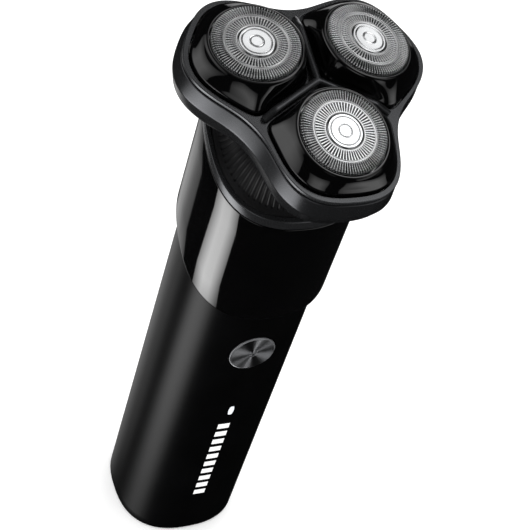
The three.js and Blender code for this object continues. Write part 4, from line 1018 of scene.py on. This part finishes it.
# %% Plastics, rubbers and metals
PLAIN_FINISHES = {  # two tones, two roughnesses, and what differs from the usual settings
    "gloss_black": (((0.0006, 0.0006, 0.0007), (0.001, 0.001, 0.0011)), (0.04, 0.07),
                    dict(bump=0.01, grain=900, ior=1.6)),
    "matt_black": (((0.006, 0.006, 0.0064), (0.01, 0.01, 0.0106)), (0.3, 0.4), dict(bump=0.1, ior=1.7)),
    "satin_grey": (((0.055, 0.056, 0.059), (0.07, 0.072, 0.075)), (0.24, 0.3),
                   dict(metallic=0.85, grain=5000, bump=0.04, ior=1.6)),
    "satin_dark": (((0.036, 0.037, 0.039), (0.046, 0.047, 0.05)), (0.22, 0.28),
                   dict(metallic=0.85, grain=5000, bump=0.04, ior=1.6)),
    "steel": (((0.5, 0.51, 0.52), (0.62, 0.63, 0.64)), (0.22, 0.36),
              dict(metallic=1.0, stretch=(1, 1, 0.05), bump=0.15)),
    "brass": (((0.42, 0.2, 0.06), (0.5, 0.3, 0.1)), (0.25, 0.4),
              dict(metallic=1.0, stretch=(1, 1, 0.04), grain=1500, bump=0.4)),
    "white_plastic": (((0.62, 0.62, 0.58), (0.7, 0.7, 0.67)), (0.38, 0.5), dict(bump=0.05)),
    "board_green": (((0.012, 0.06, 0.03), (0.02, 0.09, 0.05)), (0.35, 0.5), dict(grain=900, bump=0.2)),
    "chip_black": (((0.007, 0.007, 0.008), (0.012, 0.012, 0.013)), (0.5, 0.62), dict(bump=0.2)),
    "battery_wrap": (((0.03, 0.11, 0.23), (0.045, 0.15, 0.3)), (0.2, 0.3), dict(bump=0.05)),
    "seal_rubber": (((0.012, 0.013, 0.014), (0.02, 0.02, 0.021)), (0.7, 0.85), dict(bump=0.2)),
    "lens": (((0.72, 0.76, 0.8), (0.8, 0.84, 0.88)), (0.12, 0.2), dict(bump=0.01)),
}
finishes = {
    name: plain_finish(name, colours, roughness, **settings)
    for name, (colours, roughness, settings) in PLAIN_FINISHES.items()
}
print("plain finishes:", len(finishes))

# %% [markdown]
# ## The grip's finish and its printed scale
# The grip is satin black with a row of plain white bars printed down the front, a charge scale. The
# bars are worked out from the object coordinates: the height is folded into equal steps, and a point
# is inside a bar where it is near enough to the step's middle and to the bars' own middle line.

# %% Grip finish
BAR_PITCH = 3.69
BAR_HALF_HEIGHT = 1.1
BAR_HALF_WIDTH = 1.75
BARS_LOW, BARS_HIGH = 18.8, 55.7
BARS_X = -0.6
BAR_BLUR = 0.04
BARS_FRONT_Y = -10  # the bars lie in front of this
GRIP_IOR = 1.22


def grip_finish():
    """Satin black, with white where a point lies inside one of the bars on the front."""
    made, tree, shader, place = start_finish("grip_black")
    parts = add(tree, "ShaderNodeSeparateXYZ", {0: place}).outputs
    x = math_node(tree, "DIVIDE", parts["X"], MM)
    y = parts["Y"]
    z = math_node(tree, "DIVIDE", parts["Z"], MM)
    climbed = math_node(tree, "SUBTRACT", z, BARS_LOW)
    step = math_node(tree, "FRACT", math_node(tree, "DIVIDE", climbed, BAR_PITCH))
    from_middle = math_node(tree, "ABSOLUTE", math_node(tree, "SUBTRACT", step, 0.5))
    up = math_node(tree, "MULTIPLY", from_middle, BAR_PITCH)
    over = math_node(tree, "ABSOLUTE", math_node(tree, "SUBTRACT", x, BARS_X))
    inside = math_node(
        tree, "MULTIPLY",
        ranged(tree, up, 1, 0, BAR_HALF_HEIGHT - BAR_BLUR, BAR_HALF_HEIGHT + BAR_BLUR),
        ranged(tree, over, 1, 0, BAR_HALF_WIDTH - BAR_BLUR, BAR_HALF_WIDTH + BAR_BLUR),
    )
    span = math_node(tree, "MULTIPLY", math_node(tree, "GREATER_THAN", z, BARS_LOW),
                     math_node(tree, "LESS_THAN", z, BARS_HIGH))
    front = math_node(tree, "LESS_THAN", y, BARS_FRONT_Y * MM)
    print_share = math_node(tree, "MULTIPLY", math_node(tree, "MULTIPLY", inside, span), front)
    tone = ranged(tree, noise(tree, place, 70, 4), 0, 1)
    fine = noise(tree, place, 4200, 3)
    black = blend_colour(tree, tone, (0.0008, 0.0008, 0.0009), (0.0014, 0.0014, 0.0016))
    tree.links.new(blend_colour(tree, print_share, black, (0.8, 0.8, 0.8)), shader.inputs["Base Color"])
    shader.inputs["IOR"].default_value = GRIP_IOR
    tree.links.new(ranged(tree, fine, 0.29, 0.36), shader.inputs["Roughness"])
    height = add(tree, "ShaderNodeBump", {"Height": fine, "Strength": 0.08, "Distance": 0.02 * MM})
    tree.links.new(height.outputs[0], shader.inputs["Normal"])
    return made


finishes["grip_black"] = grip_finish()


# %% [markdown]
# ## Turned metal
# Turned and ground metal carries fine rings from the tool. They stretch every highlight across the
# rings, which is why a spun button shows bright fans. Each such piece keeps two attributes: its points
# in its own frame, for the rings, and the direction round its axis, for the stretch.

# %% Turned finishes
def mark_turned(made, own_frame):
    """Writes the own-frame coordinates in mm and the unit direction round the axis on every point.
    own_frame is the 4 x 4 matrix that takes own coordinates to the row's."""
    co = np.zeros(len(made.data.vertices) * 3, np.float32)
    made.data.vertices.foreach_get("co", co)
    back = np.linalg.inv(own_frame)
    own = (co.reshape(-1, 3) / MM) @ back[:3, :3].T + back[:3, 3]
    radius = np.maximum(np.hypot(own[:, 0], own[:, 1]), 1e-6)
    turn = np.stack([-own[:, 1] / radius, own[:, 0] / radius, 0 * radius], -1) @ own_frame[:3, :3].T
    for name, values in (("own", own), ("round", turn)):
        made.data.attributes.new(name, "FLOAT_VECTOR", "POINT").data.foreach_set(
            "vector", values.astype(np.float32).ravel())


def turned_finish(name, colours, roughness, rings, bump, anisotropy):
    """Metal with rings: noise of the radius alone gives the turning marks."""
    made, tree, shader, place = start_finish(name)
    own = add(tree, "ShaderNodeAttribute", attribute_name="own").outputs["Vector"]
    flat = add(tree, "ShaderNodeMapping", {"Vector": own, "Scale": (1, 1, 0)}).outputs[0]
    radius = add(tree, "ShaderNodeVectorMath", {0: flat}, operation="LENGTH").outputs["Value"]
    marks = add(tree, "ShaderNodeTexNoise", {"W": radius, "Scale": rings, "Detail": 4.0},
                noise_dimensions="1D").outputs["Fac"]
    tone = noise(tree, place, 300, 3)
    tree.links.new(blend_colour(tree, ranged(tree, marks, 0, 1), *colours), shader.inputs["Base Color"])
    mixed = math_node(tree, "MULTIPLY_ADD", tone, 0.2, math_node(tree, "MULTIPLY", marks, 0.8))
    tree.links.new(ranged(tree, mixed, *roughness), shader.inputs["Roughness"])
    height = add(tree, "ShaderNodeBump", {"Height": marks, "Strength": bump, "Distance": 0.01 * MM})
    tree.links.new(height.outputs[0], shader.inputs["Normal"])
    turn = add(tree, "ShaderNodeAttribute", attribute_name="round").outputs["Vector"]
    world = add(tree, "ShaderNodeVectorTransform", {0: turn}, vector_type="VECTOR", convert_from="OBJECT",
                convert_to="WORLD").outputs[0]
    tree.links.new(world, shader.inputs["Tangent"])
    shader.inputs["Metallic"].default_value = 1
    shader.inputs["Anisotropic"].default_value = anisotropy
    return made


finishes["button_metal"] = turned_finish(
    "button_metal", ((0.34, 0.345, 0.36), (0.46, 0.47, 0.485)), (0.44, 0.52), 9, 0.1, 1.0)
finishes["cutter_steel"] = turned_finish(
    "cutter_steel", ((0.6, 0.605, 0.61), (0.74, 0.745, 0.75)), (0.24, 0.32), 6, 0.04, 0.3)
# The blades' steel is painted dark: painted shade under the slotted caps, so that their slots look dark.
finishes["shaded_blade_steel"] = plain_finish(
    "shaded_blade_steel", ((0.1, 0.1, 0.105), (0.16, 0.16, 0.165)), (0.3, 0.42), metallic=1.0, grain=2500, bump=0.1)
finishes["bright_steel"] = turned_finish(
    "bright_steel", ((0.7, 0.71, 0.72), (0.8, 0.81, 0.82)), (0.1, 0.18), 8, 0.1, 0.4)


def frame_matrix(axes, origin):
    """A 4 x 4 matrix from three axes, given as rows, and an origin."""
    made = np.eye(4)
    made[:3, :3] = np.array(axes).T
    made[:3, 3] = origin
    return made


BUTTON_FRAME = frame_matrix([(1, 0, 0), (0, 0, 1), (0, -1, 0)], (0, BUTTON_FRONT_Y, BUTTON_Z))
mark_turned(button, BUTTON_FRAME)
for lobe, degrees in LOBES.items():
    corners = lobe_to_row(cap_to_lobe(np.vstack([np.zeros(3), np.eye(3)])), degrees)
    cap_frame = frame_matrix(corners[1:] - corners[0], corners[0])
    for name in (f"slotted_cap_{lobe}", f"hub_disc_{lobe}"):
        mark_turned(bpy.data.objects[name], cap_frame)

# %% [markdown]
# ## Dressing every piece
# The record says which finish each node has. The new pieces say it too, through the slot they were
# given, so one loop dresses both, and a count shows that nothing is left plain. The rotating blades
# are the one exception: their steel is painted much darker than the record's, as painted shade that keeps the
# slots above them dark.

# %% Dress the pieces
slot_of_node = {row["node"]: row["material_slot"] for row in frame["record"]["subparts"]}
dressed = 0
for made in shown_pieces():
    node = made.get("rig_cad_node") or ""
    slot = made.get("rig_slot") or slot_of_node[node]
    # Painted shade: the blades take the dark steel instead of the record's, so the slots above them look
    # dark.
    if node.startswith("rotary_cutter"):
        slot = "shaded_blade_steel"
    made.data.materials.clear()
    made.data.materials.append(finishes[slot])
    dressed += 1
print("pieces dressed:", dressed)

# %% [markdown]
# ## The studio
# Black gloss shows nothing of its own: what is seen on it is the room. So the room is nearly black for
# reflections, and every highlight comes from a soft box put where that surface looks. The world is
# white to everything else, which keeps the ground pale. Reflections pass through the floor, because
# upright walls seen from above look down, and the panels that light them hang below floor level.

# %% World and floor
ROOM_IN_REFLECTIONS = 0.008
world = bpy.data.worlds.new("studio")
world.use_nodes = True
world_tree = world.node_tree
path = add(world_tree, "ShaderNodeLightPath").outputs["Is Glossy Ray"]
world_light = ranged(world_tree, path, 1.0, ROOM_IN_REFLECTIONS, 0.0, 1.0)
world_tree.links.new(world_light, world_tree.nodes["Background"].inputs["Strength"])
world_tree.nodes["Background"].inputs["Color"].default_value = (1, 1, 1, 1)
bpy.context.scene.world = world

FLOOR_REACH = 3.0
FLOOR_GLOW = 0.2  # a lit table top, so that the ground stays pale close to the base
floor_mesh = bpy.data.meshes.new("floor")
corners = [(x * FLOOR_REACH, y * FLOOR_REACH, 0) for x, y in ((-1, -1), (1, -1), (1, 1), (-1, 1))]
floor_mesh.from_pydata(corners, [], [(0, 1, 2, 3)])
floor = bpy.data.objects.new("floor", floor_mesh)
bpy.context.scene.collection.objects.link(floor)
pale = plain_finish("pale_floor", ((0.9, 0.9, 0.9), (0.92, 0.92, 0.92)), (0.8, 0.9), broad=3, grain=200)
pale_shader = pale.node_tree.nodes["Principled BSDF"]
pale_shader.inputs["Emission Color"].default_value = (1, 1, 1, 1)
pale_shader.inputs["Emission Strength"].default_value = FLOOR_GLOW
floor.data.materials.append(pale)
floor.visible_glossy = False
floor.visible_shadow = False

# %% [markdown]
# The soft boxes stand round the shaver at one distance. Each is given by the direction it lies in, as
# an angle round from the back towards the right and an angle up, then its width, its height and its
# brightness. Like a real soft box, each is brightest in the middle and falls off to its sides.

# %% Soft boxes
BOX_DISTANCE = 0.7
RIM_BRIGHTNESS = 0.3  # at the middle of an edge, as a share of the middle's
FADE_START = 0.15  # how far from the middle the fall begins, where the edge is at 0.5
BOX_AIM = Vector((0, -0.004, 0.1))
SOFT_BOXES = {
    "collar_strip": (-101, -41, 0.54, 0.40, 7.0),
    "left_side": (-99.5, -14, 0.62, 0.30, 1.5),
    "edge_strip": (-12, -44, 0.42, 0.40, 0.9),
    "front_cutter": (83, 65, 0.32, 0.32, 2.6),
    "left_cutter": (30, 63, 0.15, 0.15, 1.3),
    "right_cutter": (55, 46, 0.15, 0.15, 1.4),
    "back_right": (36, 16, 0.60, 0.46, 2.4),
    "front_left": (-72, 22, 1.00, 0.85, 1.4),
    "right": (138, 0, 0.70, 0.55, 1.4),
    "right_high": (120, 45, 0.34, 0.34, 0.7),
    "behind_left": (-155, 12, 0.50, 0.60, 1.2),
    "above": (0, 89, 0.80, 0.80, 0.15),
}


def soft_box(name, turn, rise, width, height, brightness):
    """A rectangular light at a direction from the shaver, aimed at it. An area light of power P and
    area A has the radiance P / (pi A), so P = brightness * pi * A."""
    turn, rise = math.radians(turn), math.radians(rise)
    toward = Vector((math.sin(turn) * math.cos(rise), math.cos(turn) * math.cos(rise), math.sin(rise)))
    data = bpy.data.lights.new(name, "AREA")
    data.shape = "RECTANGLE"
    data.size, data.size_y = width, height
    data.energy = brightness * math.pi * width * height
    data.use_nodes = True
    tree = data.node_tree
    across = add(tree, "ShaderNodeNewGeometry").outputs["Parametric"]
    place = add(tree, "ShaderNodeSeparateXYZ", {0: across})
    fades = []
    for axis in ("X", "Y"):
        off = math_node(tree, "ABSOLUTE", math_node(tree, "SUBTRACT", place.outputs[axis], 0.5))
        fades.append(ranged(tree, off, 1.0, RIM_BRIGHTNESS, FADE_START, 0.5))
    fade = math_node(tree, "MULTIPLY", *fades)
    tree.links.new(fade, tree.nodes["Emission"].inputs["Strength"])
    made = bpy.data.objects.new(name, data)
    made.location = BOX_AIM + toward * BOX_DISTANCE
    made.rotation_euler = (-toward).to_track_quat("-Z", "Y").to_euler()
    made.visible_camera = False
    bpy.context.scene.collection.objects.link(made)
    return made


for name, values in SOFT_BOXES.items():
    soft_box(name, *values)
bpy.context.scene.view_settings.view_transform = "Standard"
print("soft boxes:", len(SOFT_BOXES))
